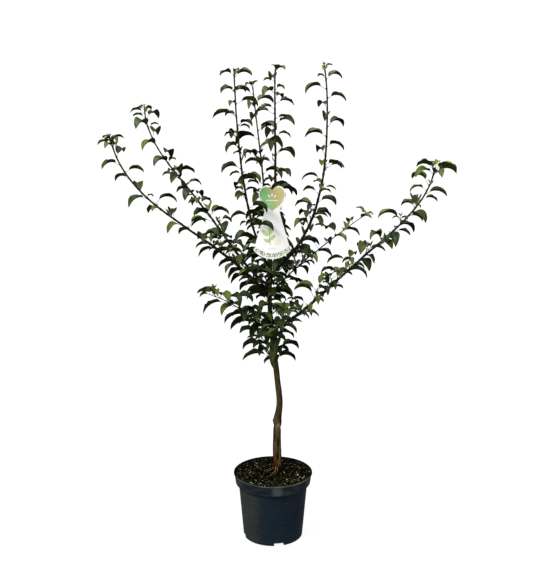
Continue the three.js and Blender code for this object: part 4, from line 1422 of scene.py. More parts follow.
class Leaf:
    """A leaf on its stalk: a midrib that arches over, with both halves of the blade folded up."""

    def __init__(self, limb: Limb, s: float, foot: Array, tangent: Array, heading: float, turn: float,
                 size: float, young: float, dice: Dice) -> None:
        """Rolls the leaf's own sizes and lays out its midrib.

        Args:
            limb: the limb it grows on.
            s: how far along the limb.
            foot: where its stalk starts.
            tangent: the way ahead of the stem that bears it.
            heading: that stem's compass heading in radians.
            turn: its turn round the stem in degrees.
            size: its size, about one.
            young: 0 for a full-grown leaf, and more for a younger one.
            dice: gives its seven throws.
        """
        throws = [dice.roll() for _ in range(7)]

        def about(pair: Pair, i: int) -> float:
            """The middle of a pair, off by up to its spread."""
            return pair[0] + pair[1] * (2 * throws[i] - 1)

        radial = sideways(tangent, heading, turn)
        out = radial[:2] + HABIT.lean * tangent[:2]
        if math.hypot(*out) < HABIT.upright:
            out = np.array([math.cos(heading), math.sin(heading)])
        level, lift, spread = HABIT.rise
        self.limb, self.s, self.foot, self.size, self.young = limb, s, np.asarray(foot, float), size, young
        self.tangent = tangent
        self.out = out / math.hypot(*out)
        self.rise = level + lift * radial[2] + spread * (2 * throws[1] - 1) + HABIT.young_rise * young
        self.stalk = size * (HABIT.petiole[0] + HABIT.petiole[1] * throws[0])
        self.blade = size * about(HABIT.blade, 3)
        self.half = size * about(HABIT.half, 4)
        self.droop = about(HABIT.droop, 2) + HABIT.young_droop * young
        self.fold = math.radians(about(HABIT.fold, 5))
        self.roll = math.radians(HABIT.roll * (2 * throws[6] - 1))
        first = math.radians(self.rise - HABIT.drop)
        last = math.radians(self.droop)
        mids = lerp(first, last, (np.arange(FINE) + 0.5) / FINE)
        start = self.foot + self.forward(math.radians(self.rise)) * self.stalk
        steps = self.forward(mids) * self.blade / FINE
        self.midrib = np.concatenate([start[None], start + np.cumsum(steps, axis=0)])
        self.slopes = lerp(first, last, np.arange(FINE + 1) / FINE)

    def forward(self, a: Any) -> Array:
        """The way ahead where the leaf slopes up by an angle."""
        return upright(self.out, np.cos(a), np.sin(a))

    def samples(self) -> Array:
        """Points on the stalk, along the midrib and across the blade, for the tests of clear space.

        Returns:
            The five points of the stalk and the midrib, and then the blade's by row.
        """
        stalk = self.midrib[0] - self.foot
        at = np.arange(2, FINE)
        t = at / FINE
        w = self.half * np.sin(np.pi * t ** 0.8) ** 0.85
        a = self.slopes[at]
        side = np.array([-self.out[1], self.out[0], 0.0])
        up = upright(self.out, -np.sin(a), np.cos(a))
        c, s = math.cos(self.roll), math.sin(self.roll)
        across, over = side * c + up * s, up * c - side * s
        v = np.array([-1, -0.5, 0, 0.5, 1])
        flat = (w[:, None] * v * math.cos(self.fold))[..., None] * across[:, None]
        lift = (w[:, None] * np.abs(v) * math.sin(self.fold))[..., None] * over[:, None]
        blade = self.midrib[at][:, None] + flat + lift
        start = [self.foot + stalk * 0.3, self.foot + stalk * 0.65,
                 self.midrib[0], self.midrib[1], self.midrib[FINE]]
        return np.concatenate([np.array(start), blade.reshape(-1, 3)])


@dataclass
class Clearance:
    """Least distances from a leaf to wood, its own stem, another part's leaf and its own part's.

    Leaves farther apart than sight aren't compared. side is the margin kept inside the imported
    model's box, and less than zero where they may stand past it.
    """

    wood: float = 3.0
    own: float = 2.0
    leaf: float = 8.0
    sister: float = 4.5
    sight: float = 85.0
    side: float = -5.0


@dataclass
class Shoot:
    """A short twig: where it leaves the limb, its tip and the way it grows."""

    limb: Limb
    s: float
    foot: Array
    tip: Array
    along: Array


@dataclass(frozen=True)
class LabelRoom:
    """The space that leaves and twigs leave round the label and its loop."""

    y: float = -78.0
    centre: float = Print.centre
    side: float = 72.0
    front: float = 8.0
    behind: float = 26.0
    low: float = 962.0
    high: float = 1208.0
    loop_z: float = 1128.0
    loop_side: float = 16.0
    loop_over: float = 10.0


class Crown:
    """Every limb, and all that has grown on them."""

    def __init__(self, stem: Stem) -> None:
        """Lays out the limbs, and the middle lines that leaves keep clear of.

        Args:
            stem: what the limbs grow from.
        """
        self.stem = stem
        self.limbs = [Limb(spec, stem) for spec in (*LIMBS, *(spur_spec(k) for k in range(SPURS)))]
        self.room = LabelRoom()
        self.clear = Clearance()
        self.leaves: dict[str, list[Leaf]] = {limb.spec.name: [] for limb in self.limbs}
        self.twigs: dict[str, list[Shoot]] = {limb.spec.name: [] for limb in self.limbs}
        self.shoots: list[Shoot] = []
        self.grown: list[tuple[Leaf, Array, Array]] = []
        trunk = stem.middle(lerp(stem.foot, stem.top, np.arange(TRUNK + 1) / TRUNK))
        thick = stem.thick(lerp(stem.foot, stem.top, (np.arange(TRUNK) + 0.5) / TRUNK))
        mids = (np.arange(STEPS) + 0.5) / STEPS
        lines = [*(limb.points for limb in self.limbs), trunk]
        self.a = np.concatenate([line[:-1] for line in lines])
        self.b = np.concatenate([line[1:] for line in lines])
        self.r = np.concatenate([limb.thick(mids * limb.length) for limb in self.limbs] + [thick])
        self.owner = np.repeat([*range(len(self.limbs)), -1], [len(line) - 1 for line in lines])
        leader = next(limb for limb in self.limbs if limb.spec.name == "leader")
        s = next(s for s in range(int(leader.length)) if leader.at(s)[2] >= self.room.loop_z)
        self.loop = leader.at(s)
        self.loop_radius = float(leader.thick(s)) * 1.15 + 1

    def near_label(self, points: Array) -> bool:
        """Whether any point is in the space that the label and its loop need.

        Args:
            points: the points.

        Returns:
            True where one is.
        """
        room, (x, y, z) = self.room, points.T
        behind = y - room.y
        card = (np.abs(x - room.centre) < room.side) & (behind < room.behind)
        card = card & (z > room.low) & (z < room.high)
        strap = ((np.abs(x - self.loop[0]) < room.loop_side) & (y < self.loop[1] + room.loop_side)
                 & (np.abs(z - room.loop_z) < room.loop_over))
        return bool(((card | strap) & (behind > -room.front)).any())

    def outside(self, points: Array) -> bool:
        """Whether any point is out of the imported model's box or within a margin of its sides."""
        low, high = np.array(CAD_BOX) / MM
        return bool(((points < low + self.clear.side) | (points > high - self.clear.side)).any())

    def to_wood(self, points: Array, which: Array) -> Array:
        """Distances from points to the wood of some of the straight parts.

        Args:
            points: the points.
            which: which of the straight parts.

        Returns:
            Distances by point and part.
        """
        a, ab = self.a[which], self.b[which] - self.a[which]
        ap = points[:, None] - a
        t = np.clip((ap * ab).sum(-1) / (ab * ab).sum(-1), 0, 1)
        return np.linalg.norm(ap - ab * t[..., None], axis=-1) - self.r[which]

    def clear_of_shoots(self, points: Array, limb: Limb, s: float) -> bool:
        """Whether points keep clear of the twigs of every other part.

        Args:
            points: the points.
            limb: the limb that they belong to.
            s: how far along it.

        Returns:
            True if none is near.
        """
        for shoot in self.shoots:
            if shoot.limb is limb and limb.part(shoot.s) == limb.part(s):
                continue
            ab = shoot.tip - shoot.foot
            t = np.clip(((points - shoot.foot) @ ab) / (ab @ ab), 0, 1)
            if (np.linalg.norm(points - shoot.foot - t[:, None] * ab, axis=1) <= 5).any():
                return False
        return True

    def twig_fits(self, limb: Limb, s: float, foot: Array, tip: Array) -> bool:
        """Whether a twig is clear of the label, of other limbs and of their leaves.

        Args:
            limb: the limb that bears it.
            s: how far along.
            foot: where it starts.
            tip: where it ends.

        Returns:
            True if it is.
        """
        line = np.array([lerp(foot, tip, k) for k in (0.35, 0.7, 1.0)])
        if self.near_label(line) or not self.clear_of_shoots(line, limb, s):
            return False
        others = self.owner != self.limbs.index(limb)
        if (self.to_wood(line, others) < 2 + self.clear.wood).any():
            return False
        return all(leaf.limb is limb or (np.linalg.norm(line[:, None] - q, axis=-1) > self.clear.leaf).all()
                   for leaf, q, _ in self.grown)

    def fits(self, leaf: Leaf) -> bool:
        """Whether a leaf is clear of all that has grown.

        Its first samples lie on its stalk, which may come near its own stem and sisters.

        Args:
            leaf: the leaf.

        Returns:
            True if it is.
        """
        points = leaf.samples()
        if self.outside(points) or self.near_label(points):
            return False
        if not self.clear_of_shoots(points, leaf.limb, leaf.s):
            return False
        middle = leaf.midrib[FINE // 2]
        near = np.linalg.norm(self.a - middle, axis=1) <= 70
        own = self.owner == self.limbs.index(leaf.limb)
        for which, least, tested in ((near & ~own, self.clear.wood, points),
                                     (near & own, self.clear.own, points[11:])):
            if which.any() and (self.to_wood(tested, which) < least).any():
                return False
        for other, samples, centre in self.grown:
            if np.linalg.norm(middle - centre) > self.clear.sight:
                continue
            same = other.limb is leaf.limb and leaf.limb.part(other.s) == leaf.limb.part(leaf.s)
            least = self.clear.sister if same else self.clear.leaf
            mine, theirs = (points[10:], samples[10:]) if same else (points, samples)
            if (((mine[:, None] - theirs) ** 2).sum(-1) < least ** 2).any():
                return False
        return True

    def keep(self, leaf: Leaf) -> None:
        """Adds a leaf to the crown."""
        self.grown.append((leaf, leaf.samples(), leaf.midrib[FINE // 2]))
        self.leaves[leaf.limb.spec.name].append(leaf)

    def grow_twig(self, limb: Limb, s: float, along: Array, size: float, pick: list[float],
                  dice: Dice) -> None:
        """Grows a short twig with up to three small leaves round its end.

        Args:
            limb: the limb that bears it.
            s: how far along.
            along: the way it grows.
            size: its leaves' size, about one.
            pick: five throws for its length and its leaves.
            dice: gives the leaves' throws.
        """
        foot = limb.at(s)
        tip = foot + along * (12 + 18 * pick[0] + float(limb.thick(s)))
        free = self.twig_fits(limb, s, foot, tip)
        bears = False
        for j in range(3):
            turn = 120 * j + 360 * pick[1] + 40 * pick[2 + j]
            small = size * (0.62 + 0.3 * pick[2 + j])
            way = math.atan2(along[1], along[0])
            leaf = Leaf(limb, s, tip - along * 2, along, way, turn, small, 0.25, dice)
            if free and self.fits(leaf):
                self.keep(leaf)
                bears = True
        if bears:
            shoot = Shoot(limb, s, foot, tip, along)
            self.shoots.append(shoot)
            self.twigs[limb.spec.name].append(shoot)

    def grow(self, limb: Limb, spec: LimbSpec) -> None:
        """Deals leaves and short twigs out along a limb.

        Each leaf is turned on from the last by the limb's own step. Where it has no room, it is
        tried at other turns round the stem, and then left out. Young leaves crowd the tip.

        Args:
            limb: the limb.
            spec: how its leaves are dealt out in this flush.
        """
        dice = Dice(spec.seed)
        tip_size, tip_leaves, tip_young = spec.tip
        length = limb.length

        def try_leaf(s: float, turn: float, size: float, young: float) -> bool:
            """Keeps one leaf if it fits.

            Args:
                s: how far along.
                turn: its turn round the limb.
                size: its size.
                young: how young it is.

            Returns:
                Whether it was kept.
            """
            t = s / length
            leaf = Leaf(limb, s, limb.at(s), limb.direction(t), limb.heading(t), turn, size, young, dice)
            if not self.fits(leaf):
                return False
            self.keep(leaf)
            return True

        turn = spec.turn
        s = spec.bare + spec.pitch * spec.first
        while s < min(length - 8, length * spec.reach):
            place = limb.settle(s)
            t = place / length
            left = (length - s) / 90
            size = lerp(*spec.size, t) * (0.9 + 0.2 * dice.roll()) * lerp(tip_size, 1, min(1, left + 0.25))
            here = turn + dice.spread(16)
            twiggy = dice.roll() < spec.spur * (1 - t) * 1.6
            paired = dice.roll() < 0.18
            pick = [dice.roll() for _ in range(6)]
            if twiggy:
                tangent = limb.direction(t)
                along = 0.7 * sideways(tangent, limb.heading(t), here) + 0.4 * tangent + np.array([0, 0, 0.6])
                self.grow_twig(limb, place, unit(along), size, pick, dice)
            else:
                young = max(0.0, 1 - left) * 0.6
                state = dice.state
                for shift in (0, 60, -60, 120, -120, 180):
                    dice.state = state
                    if try_leaf(place, here + shift, size, young):
                        break
                if paired:
                    try_leaf(place + 3, here + 70 + 80 * pick[3], size * (0.42 + 0.3 * pick[4]), 0.3)
                else:
                    for _ in range(7):
                        dice.roll()
            turn += spec.step
            s += spec.pitch * (0.92 + 0.16 * dice.roll())
        for j in range(tip_leaves):
            k = j / (tip_leaves - 1)
            young = tip_young * lerp(1, 0.4, k)
            try_leaf(length - 3 - 4 * j, turn + 137.5 * j, tip_size * lerp(0.55, 1, k), young)

    def grow_all(self) -> None:
        """Grows the first flush on every limb, and then a second one into the room that is left."""
        for limb in self.limbs:
            self.grow(limb, limb.spec)
        first = len(self.grown)
        self.clear = Clearance(wood=1.5, own=1.0, leaf=3.5, sister=2.5, side=2.0)
        for limb in self.limbs:
            self.grow(limb, later_spec(limb.spec))
        log.info("%d leaves in the first flush, %d in all", first, len(self.grown))


# The crown's meshes

class Tone(IntEnum):
    """The leaf coats, by number in a leaf piece."""

    DEEP, GREEN, OLIVE, FRESH, YOUNG, BLUSH, UNDER, PALE_UNDER, RIB = range(9)


FACES = tuple(LeafFace(f"leaf_{tone.name.lower()}", srgb(*colour), *finish) for tone, colour, *finish in (
    (Tone.DEEP, (30, 44, 14)),
    (Tone.GREEN, (48, 64, 22)),
    (Tone.OLIVE, (72, 82, 34)),
    (Tone.FRESH, (88, 102, 36)),
    (Tone.YOUNG, (118, 128, 42), 0.42),
    (Tone.BLUSH, (118, 70, 52), 0.42),
    # Painted shade: the darker underside coat, darker than a pear leaf's own underside.
    (Tone.UNDER, (26, 36, 13), 0.62, 0.05),
    (Tone.PALE_UNDER, (54, 66, 28), 0.62, 0.05),
    (Tone.RIB, (100, 112, 58), 0.45, 0.2, 0.2),
))


@dataclass
class Spray:
    """The leaves of one limb, as arrays with one entry a leaf."""

    leaves: list[Leaf]
    seed: int
    stations: Row = (0.03, 0.12, 0.24, 0.37, 0.5, 0.63, 0.76, 0.88, 0.97)
    rib: float = 0.55
    thick: float = 0.28
    vigour: float = 700.0  # limbs longer than this still grow yellow-green leaves
    cup: float = 0.13
    wave: float = 0.12
    full: float = 1.12

    def __post_init__(self) -> None:
        """Gathers the leaves' own sizes."""
        def of(name: str) -> Array:
            """One size of every leaf."""
            return np.array([getattr(leaf, name) for leaf in self.leaves], float)
        self.foot, self.out, self.tangent = of("foot"), of("out"), of("tangent")
        self.stalk, self.blade, self.half, self.fold = map(of, ("stalk", "blade", "half", "fold"))
        self.roll, self.size, self.young = of("roll"), of("size"), of("young")
        self.first, self.rise, self.last = np.radians([of("rise") - HABIT.drop, of("rise"), of("droop")])
        lengths = np.array([leaf.limb.length for leaf in self.leaves])
        self.share, self.growing = of("s") / lengths, lengths > self.vigour
        self.rng = np.random.default_rng(self.seed)
        self.tones = self._tones()

    def _tones(self) -> Array:
        """Deals a coat to each leaf: mostly dark, fresher to the tip, yellow-green when young.

        Returns:
            A coat number a leaf.
        """
        roll = self.rng.uniform(0, 1, len(self.leaves))
        deep = np.array([0.50, 0.36, 0.10, 0.04])
        light = np.array([0.04, 0.18, 0.40, 0.38])
        near_tip = smooth_step(0.84, 0.96, self.share) * 0.5
        lift = np.clip(self.young * 1.6 + (self.share - 0.25) * 0.6 + near_tip, 0, 1)
        lift = (lift * np.where(self.growing, 1.0, 0.55))[:, None]
        sums = np.cumsum(lerp(deep, light, lift), axis=1)
        tone = np.minimum((roll[:, None] > sums).sum(axis=1), Tone.FRESH)
        tender = (self.young > 0.42) & (roll > 0.25) & self.growing
        tone = np.where(tender, Tone.YOUNG, tone)
        return np.where((self.young > 1.0) & (roll > 0.6), Tone.BLUSH, tone)

    def forward(self, a: Array) -> Array:
        """The way ahead where each leaf slopes by an angle, given by leaf and station."""
        return upright(self.out[:, None], np.cos(a), np.sin(a))

    def midrib(self, u: Array) -> Array:
        """Points along the arched midrib.

        The slope turns evenly from first to last, so the distance gone forward by share u is
        length × (sin(first + k u) - sin first) / k and the height is length × (cos first -
        cos(first + k u)) / k, where k is the whole turn.

        Args:
            u: shares of the length.

        Returns:
            Points by leaf and share.
        """
        k = self.last - self.first
        k = np.where(np.abs(k) < 1e-3, 1e-3, k)[:, None]
        first, length = self.first[:, None], self.blade[:, None]
        ahead = length * (np.sin(first + k * u) - np.sin(first)) / k
        high = length * (np.cos(first) - np.cos(first + k * u)) / k
        base = self.foot + self.forward(self.rise[:, None])[:, 0] * self.stalk[:, None]
        return base[:, None] + upright(self.out[:, None], ahead, high)

    def frames(self, a: Array, roll: Array) -> tuple[Array, Array]:
        """Each blade's sideways and upward directions where the midrib slopes by a.

        Args:
            a: slopes by leaf and station.
            roll: each blade's roll there.

        Returns:
            Both directions by leaf and station.
        """
        side = np.concatenate([-self.out[:, 1:], self.out[:, :1], np.zeros((len(self.out), 1))], 1)
        side = np.broadcast_to(side[:, None], (*a.shape, 3))
        up = upright(self.out[:, None], -np.sin(a), np.cos(a))
        c, s = np.cos(roll)[..., None], np.sin(roll)[..., None]
        return side * c + up * s, up * c - side * s

    def blades(self) -> Skin:
        """The blades, each one closed grid of nine rings of seven corners.

        Half the width at share u is full × half × sin(π u^0.8)^0.85. A corner at share v of it lies
        v × cos fold to the side and |v| × sin fold up, plus a cup of 4|v|(1-|v|) and a wave
        along the margin. Six corners lie on the upper side, two of them at the rib's edges,
        and the seventh below the rib.

        Returns:
            All of them as one skin.
        """
        n = len(self.leaves)
        u = np.array(self.stations)
        w = self.full * self.half[:, None] * np.sin(np.pi * u ** 0.8) ** 0.85
        slope = lerp(self.first[:, None], self.last[:, None], u)
        twist = self.rng.normal(0, 0.16, (n, 1)) * (u - 0.3)
        side, up = self.frames(slope, self.roll[:, None] + twist)
        rib = np.minimum(0.5, self.rib * np.maximum(0.6, self.size)[:, None] / w)
        one = np.ones_like(w)
        v = np.stack([one, 0.55 * one, rib, -rib, -0.55 * one, -one, 0 * one], -1)
        across = (w[..., None] * v * np.cos(self.fold)[:, None, None])[..., None] * side[:, :, None]
        lift = w[..., None] * np.abs(v) * np.sin(self.fold)[:, None, None]
        cup = self.rng.uniform(0.3, 1.4, (n, 1, 1)) * self.cup
        lift = lift + w[..., None] * 4 * np.abs(v) * (1 - np.abs(v)) * cup
        phase = self.rng.uniform(0, 2 * np.pi, (n, 1, 1)) + np.where(v > 0, 0.0, 1.9)
        waves = self.rng.uniform(1.4, 2.6, (n, 1, 1))
        ripple = np.sin(2 * np.pi * waves * u[:, None] + phase) * v ** 2
        lift = lift + w[..., None] * self.wave * ripple * self.rng.uniform(0.3, 1.3, (n, 1, 1))
        body = self.thick * np.array([0, 1, 0.7, 0.7, 1, 0, -2.2])
        rings = self.midrib(u)[:, :, None] + across + (lift + body)[..., None] * up[:, :, None]
        ends = self.midrib(np.array([0.0, 1.0]))
        # Six in ten undersides take the coat with painted shade.
        under = np.where(self.rng.uniform(0, 1, n) < 0.6, Tone.UNDER, Tone.PALE_UNDER)
        under = np.where(self.tones == Tone.YOUNG, Tone.OLIVE, under)
        under = np.where((self.tones == Tone.FRESH) | (self.share > 0.8), Tone.PALE_UNDER, under)
        top, below = self.tones[:, None], under[:, None]
        ribs = np.full((n, 1), Tone.RIB)
        coat = np.concatenate([top, top, ribs, top, top, below, below], axis=1)
        uv = np.stack([np.broadcast_to(u[None, :, None], v.shape), v / 2 + 0.5], -1)
        return Skin.grid(rings, foot=ends[:, 0], tip=ends[:, 1], coat=coat, uv=uv)

    def stalks(self) -> Skin:
        """The petioles: thin tubes from the stem into the blade, swollen a little at the foot.

        Returns:
            All of them as one skin.
        """
        q = np.array([0.0, 0.12, 0.5, 0.85, 1.0])
        way = self.forward(self.rise[:, None])[:, 0]
        line = self.foot[:, None] + way[:, None] * (self.stalk[:, None] * q)[..., None]
        line[..., 2] -= np.sin(np.pi * q) * self.stalk[:, None] * 0.05
        tail = self.midrib(np.array([0.14]))
        line = np.concatenate([line, tail], axis=1)
        line[:, -1, 2] -= 0.25
        ahead = unit(np.gradient(line, axis=1))
        level = np.zeros(line.shape[:2])
        side = self.frames(level, level)[0]
        girth = np.array([1.25, 0.95, 0.68, 0.7, 0.72, 0.3]) * np.clip(self.size, 0.65, 1.1)[:, None]
        return tube(line, side, ahead, girth, 5, tone=0.9)

    def buds(self) -> Skin:
        """A small pointed bud in the axil of every leaf.

        Returns:
            All of them as one skin.
        """
        way = self.forward(self.rise[:, None])[:, 0]
        thick = np.array([float(leaf.limb.thick(leaf.s)) for leaf in self.leaves])
        along = unit(self.tangent * 1.2 + way * 0.6)
        out = unit(way - (way * self.tangent).sum(1, keepdims=True) * self.tangent)
        centre = self.foot + self.tangent * 2.2 + out * (thick * 0.85)[:, None]
        long = self.rng.uniform(3.2, 5.2, len(self.leaves))
        return beads(centre, along, long, long * 0.3, coat=1)

    def build(self, name: str, wood: Skin, coats: dict[str, list[Material]],
              nodes: Sequence[str], boughs: Sequence[str]) -> None:
        """Makes the limb's three pieces: its leaves, its wood, and its stalks and buds.

        Args:
            name: the limb's name.
            wood: its wood.
            coats: materials for leaf, stalk and wood.
            nodes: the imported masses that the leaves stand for.
            boughs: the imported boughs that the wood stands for.
        """
        self.blades().piece(f"leaves_{name}_grown", coats["leaf"], "leaves", 66.0, nodes)
        Skin.joined([self.stalks(), self.buds()]).piece(f"stalks_{name}", coats["stalk"], "leaves")
        wood.piece(f"wood_{name}", coats["wood"], "bough_bark", nodes=boughs)


@dataclass
class Wood:
    """The wood of one limb and of the short twigs on it."""

    limb: Limb
    leaves: list[Leaf]
    twigs: list[Shoot]
    corners: int = 14
    spacing: float = 4.0
    swell: float = 1.04

    def skin(self) -> Skin:
        """The limb as a tapering tube that swells at every leaf, and wanders a little.

        The radius is the plain one × (1 + a collar at the stem) + a bump at each leaf's foot.
        The middle strays by smooth noise that is nothing at the foot and at the tip.

        Returns:
            The limb with its tip bud and its twigs.
        """
        limb = self.limb
        count = max(8, int(limb.length / self.spacing))
        s = np.linspace(0, limb.length, count)
        share = s / limb.length
        grid = np.linspace(0, limb.length, STEPS + 1)
        line = np.stack([np.interp(s, grid, limb.points[:, k]) for k in range(3)], -1)
        stray = [Grain(31 + k).at(np.stack([s / 46, s * 0 + limb.spec.foot, s * 0], -1)) for k in range(3)]
        line += np.stack(stray, -1) * (0.7 * np.sin(np.pi * share))[:, None]
        ahead = unit(np.gradient(line, axis=0))
        side = polar(np.radians(lerp(*limb.spec.heading, share)) + np.pi / 2, 1.0, 0.0)
        side = unit(side - (side * ahead).sum(-1, keepdims=True) * ahead)
        thick = limb.thick(s) * self.swell
        collar = 0.55 * np.exp(-np.maximum(s - 4, 0) / 9)
        if limb.spec.name == "leader":
            collar = collar * 0
        feet = np.array([leaf.s for leaf in self.leaves] or [0.0])
        bumps = bell(s[:, None] - feet, 2.6).sum(axis=1)
        r = thick * (1 + collar + 0.2 * np.minimum(bumps, 1.3))
        r = r[:, None] * (1 + 0.05 * Grain(57).layers(polar(turns(self.corners), 1.4, s[:, None] / 9), 2))
        r[-1] *= 0.55
        body = tube(line[None], side[None], ahead[None], r[None], self.corners, tone=share[None])
        bud = beads(line[-1:] - ahead[-1:] * 1.0, ahead[-1:], np.array([5.0]), np.array([1.3]), tone=0.95)
        return Skin.joined([body, bud] + ([self.short()] if self.twigs else []))

    def short(self) -> Skin:
        """The short twigs: ringed with old scars and a little thicker where their leaves stand.

        Returns:
            All of them as one skin.
        """
        foot, tip, along = np.array([(t.foot, t.tip, t.along) for t in self.twigs]).transpose(1, 0, 2)
        q = np.array([0.0, 0.12, 0.3, 0.42, 0.5, 0.62, 0.74, 0.86, 0.95, 1.0])
        girth = np.array([2.0, 1.9, 1.55, 1.8, 1.5, 1.75, 1.5, 1.9, 1.7, 0.7])
        line = foot[:, None] + (tip - foot)[:, None] * q[:, None]
        side = np.broadcast_to(square_to(along)[:, None], line.shape)
        ahead = np.broadcast_to(along[:, None], line.shape)
        radii = np.broadcast_to(girth, line.shape[:2])
        return tube(line, side, ahead, radii, 8, tone=np.broadcast_to(lerp(0.3, 0.6, q), line.shape[:2]))


def build_crown(crown: Crown) -> None:
    """Makes every limb's leaves and wood, and the spurs' as one set of pieces.

    Args:
        crown: the grown crown.
    """
    coats = {
        "leaf": [face.made() for face in FACES],
        "stalk": [Flat("leaf_stalk", srgb(78, 80, 38), 0.5, 0.3, 0.1).made(),
                  Flat("bud_scale", srgb(58, 40, 24), 0.6, 0.25, 0.2).made()],
        "wood": [ShootBark().made()],
    }
    limbs = {limb.spec.name: limb for limb in crown.limbs}
    for k, spec in enumerate(LIMBS):
        name = spec.name
        wood = Wood(limbs[name], crown.leaves[name], crown.twigs[name]).skin()
        nodes = [f"leaves_{name}_foot", f"leaves_{name}_end"] if spec.split else [f"leaves_{name}"]
        boughs = [f"bough_{name}"] if spec.bare else []
        Spray(crown.leaves[name], 100 + k).build(name, wood, coats, nodes, boughs)
    spurs = [name for name in limbs if name.startswith("spur")]
    woods = [Wood(limbs[name], crown.leaves[name], crown.twigs[name]).skin() for name in spurs]
    leaves = [leaf for name in spurs for leaf in crown.leaves[name]]
    Spray(leaves, 120).build("spurs", Skin.joined(woods), coats, [f"leaves_{name}" for name in spurs], [])


# The label

@dataclass
class Label:
    """A heart over a flared card in one curled piece, with a loop round the leader."""

    loop_at: Array
    loop_radius: float
    y: float = LabelRoom.y
    centre: float = LabelRoom.centre
    heart_width: float = 84.0
    heart_height: float = 86.0
    top: float = 1200.0
    neck_width: float = 58.0
    body_width: float = 2 * Print.half
    body_foot: float = Print.foot + Print.sag
    sag: float = Print.sag
    thick: float = 1.2
    bend: float = 190.0
    loop_z: float = LabelRoom.loop_z
    loop_width: float = 3.2
    loop_room: float = 2.5
    band: float = 2.0
    rows: int = 110
    columns: int = 9

    def outline(self) -> tuple[Array, Array, Array]:
        """The right half's edge as curves through their control points, from the cleft down.

        Returns:
            Heights from the foot to the top, and the inner and outer edge's distance from the
            middle at each.
        """
        w, tall, top, sag = self.heart_width / 2, self.heart_height, self.top, self.sag
        neck, foot, low, hem = self.neck_width / 2, self.body_width / 2, top - tall, self.body_foot
        cleft = top - tall * 0.17
        start, t, path = np.array([0.0, cleft]), np.linspace(0, 1, 200)[:, None], []
        for curve in (
            [(w * 0.22, top + 2), (w * 0.82, top + 6), (w * 0.97, top - tall * 0.2)],
            [(w * 1.1, top - tall * 0.48), (w * 0.62, low + tall * 0.24), (neck * 0.8, low + 6)],
            [(neck, low - 18), (foot * 0.7, hem + 58), (foot, hem)],
            [(foot * 0.7, hem - sag * 0.7), (foot * 0.35, hem - sag), (0, hem - sag)],
        ):
            b, c, d = np.array(curve, float)
            inner = 3 * t * (1 - t) * (b * (1 - t) + c * t)
            path.append(start * (1 - t) ** 3 + inner + d * t ** 3)
            start = d
        edge = np.concatenate(path)
        peak = int(np.argmax(edge[:, 1]))
        rising, falling = edge[:peak + 1], edge[peak:][::-1]
        share = (1 - np.cos(np.linspace(0, np.pi, self.rows))) / 2
        z = lerp(edge[:, 1].min() + 0.02, edge[peak, 1] - 0.02, share)
        outer = np.interp(z, falling[:, 1], falling[:, 0])
        inner = np.where(z > cleft, np.interp(z, rising[:, 1], rising[:, 0]), 0.0)
        return z, inner, outer

    def curled(self, x: Array, off: float, z: Array) -> Array:
        """Bends the flat card: a point x from the middle goes round a circle of the bend's radius."""
        a, r = x / self.bend, self.bend - off
        return np.stack([self.centre + r * np.sin(a), self.y + self.bend - r * np.cos(a), z], -1)

    def card(self) -> Skin:
        """The card: each half is a band of rows from the inner to the outer edge, front and back.

        Returns:
            Both halves, printed on their front faces only.
        """
        z, inner, outer = self.outline()
        share = np.linspace(0, 1, self.columns)
        halves = []
        for way in (1, -1):
            x = way * lerp(inner[:, None], outer[:, None], share)
            high = np.broadcast_to(z[:, None], x.shape)
            front, back = (self.curled(x, off, high) for off in (-self.thick / 2, self.thick / 2))
            ring = np.concatenate([front, back[:, ::-1]], axis=1)
            coat = np.repeat([0, 1], [self.columns - 1, self.columns + 1])
            if way < 0:
                ring, coat = ring[:, ::-1], np.roll(coat[::-1], -1)
            halves.append(Skin.grid(ring[None], ring[:1].mean(axis=1), ring[-1:].mean(axis=1), coat[None]))
        return Skin.joined(halves)

    def loop(self) -> Skin:
        """The flat band round the leader: a half circle behind it and straight sides to the card.

        Returns:
            The closed band.
        """
        x = self.loop_at[0]
        inner = self.loop_radius + self.loop_room
        back = self.loop_at[1] + self.loop_radius + 0.3 - inner
        bend = np.linspace(0, np.pi, 25)
        rings = []
        for r, front in ((inner, self.y + self.band), (inner + self.band, self.y - 0.2)):
            arc = np.stack([x + r * np.cos(bend), back + r * np.sin(bend)], -1)
            y = np.linspace(back, front, 9)
            left, right = (np.stack([np.full_like(y, side), y], -1) for side in (x - r, x + r))
            rings.append(np.concatenate([arc, left[1:], right[:0:-1]]))
        low, high = self.loop_z - self.loop_width / 2, self.loop_z + self.loop_width / 2
        grid = np.stack([np.insert(path, 2, z, axis=1) for path, z in (
            (rings[0], low), (rings[1], low), (rings[1], high), (rings[0], high))], axis=1)
        return Skin.grid(np.concatenate([grid, grid[:1]])[::-1][None], coat=1)

    def build(self) -> None:
        """Makes the label and prints its front."""
        skin = Skin.joined([self.card(), self.loop()])
        skin.piece("label_card", [Print().made(True), Print().made(False)], "label", 40.0, ["label"])


# The studio

class Lamp(Enum):
    """The soft lights: place, width, power and where each points, in metres and watts."""

    KEY = ((-1.9, -2.4, 3.6), 1.2, 120.0, (0.0, 0.0, 0.9))
    FILL = ((2.8, -2.2, 1.6), 2.2, 10.0, (0.0, 0.0, 0.8))
    TOP = ((0.2, 0.5, 3.8), 1.8, 90.0, (0.0, 0.0, 0.9))


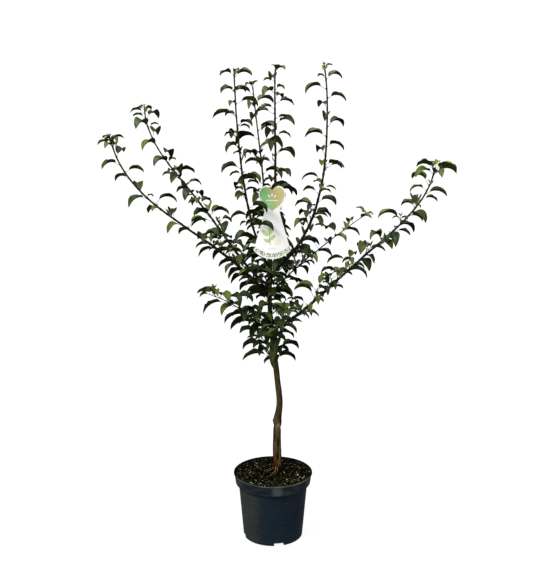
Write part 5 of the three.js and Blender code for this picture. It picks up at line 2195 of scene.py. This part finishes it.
@dataclass
class Studio:
    """A pale floor, a white room, soft lights and the camera at the photograph's angle."""

    floor: Colour = (0.1, 0.1, 0.1)
    glow: float = 0.93
    radius: float = 1.5
    below: float = 0.0005
    room: float = 0.3
    white: float = 1.1
    eye: Triple = (0.0, -3.2, 1.6027)
    tilt: float = 13.03
    sensor: float = 36.0
    lens: float = 1017 / 574 * sensor  # by the photograph's focal length and height in pixels

    def lay_floor(self) -> None:
        """Lays a round glowing floor that the lights don't bounce from."""
        mesh = bpy.data.meshes.new("floor")
        ring = polar(turns(96), self.radius, -self.below)
        mesh.from_pydata(ring.tolist(), [], [list(range(len(ring)))])
        mesh.materials.append(Coating("floor").wear(
            Base_Color=self.floor, Roughness=0.9, Specular_IOR_Level=0.1,
            Emission_Color=(1.0, 1.0, 1.0), Emission_Strength=self.glow))
        floor = placed("floor", mesh)
        floor.visible_diffuse = floor.visible_glossy = False

    def paint_room(self) -> None:
        """Surrounds the scene with white that looks bright and lights it less."""
        world = bpy.data.worlds.new("room")
        world.use_nodes = True
        nodes, links = world.node_tree.nodes, world.node_tree.links
        back = nodes["Background"]
        seen, share = nodes.new("ShaderNodeLightPath"), nodes.new("ShaderNodeMapRange")
        back.inputs["Color"].default_value = (1, 1, 1, 1)
        share.inputs["To Min"].default_value = self.room
        share.inputs["To Max"].default_value = self.white
        links.new(seen.outputs["Is Camera Ray"], share.inputs["Value"])
        links.new(share.outputs["Result"], back.inputs["Strength"])
        bpy.context.scene.world = world

    def hang_lamps(self) -> None:
        """Hangs each lamp and turns it to what it lights."""
        for lamp in Lamp:
            place, width, power, aim = lamp.value
            light = bpy.data.lights.new(lamp.name.lower(), "AREA")
            light.size, light.energy = width, power
            obj = placed(lamp.name.lower(), light)
            obj.location = place
            x, y, z = np.array(place) - np.array(aim)
            obj.rotation_euler = (math.atan2(math.hypot(x, y), z), 0, math.atan2(y, x) + math.pi / 2)

    def build(self) -> None:
        """Makes the floor, the world, the lights and the camera."""
        self.lay_floor()
        self.paint_room()
        self.hang_lamps()
        camera = bpy.data.cameras.new("camera")
        camera.lens, camera.sensor_width = self.lens, self.sensor
        obj = placed("camera", camera)
        obj.location = self.eye
        obj.rotation_euler = (math.radians(90 - self.tilt), 0, 0)
        bpy.context.scene.camera = obj
        bpy.context.scene.view_settings.view_transform = "Standard"


def main() -> None:
    """Builds the tree from the pot up, and the studio round it."""
    logging.basicConfig(level=logging.INFO, format="%(message)s")
    pot, stem = Pot(), Stem()
    pot.build()
    soil = Soil(pot, stem)
    soil.build()
    crown = Crown(stem)
    crown.grow_all()
    stem.build(crown.limbs, soil)
    build_crown(crown)
    Label(crown.loop, crown.loop_radius).build()
    Studio().build()


if __name__ == "__main__":
    main()
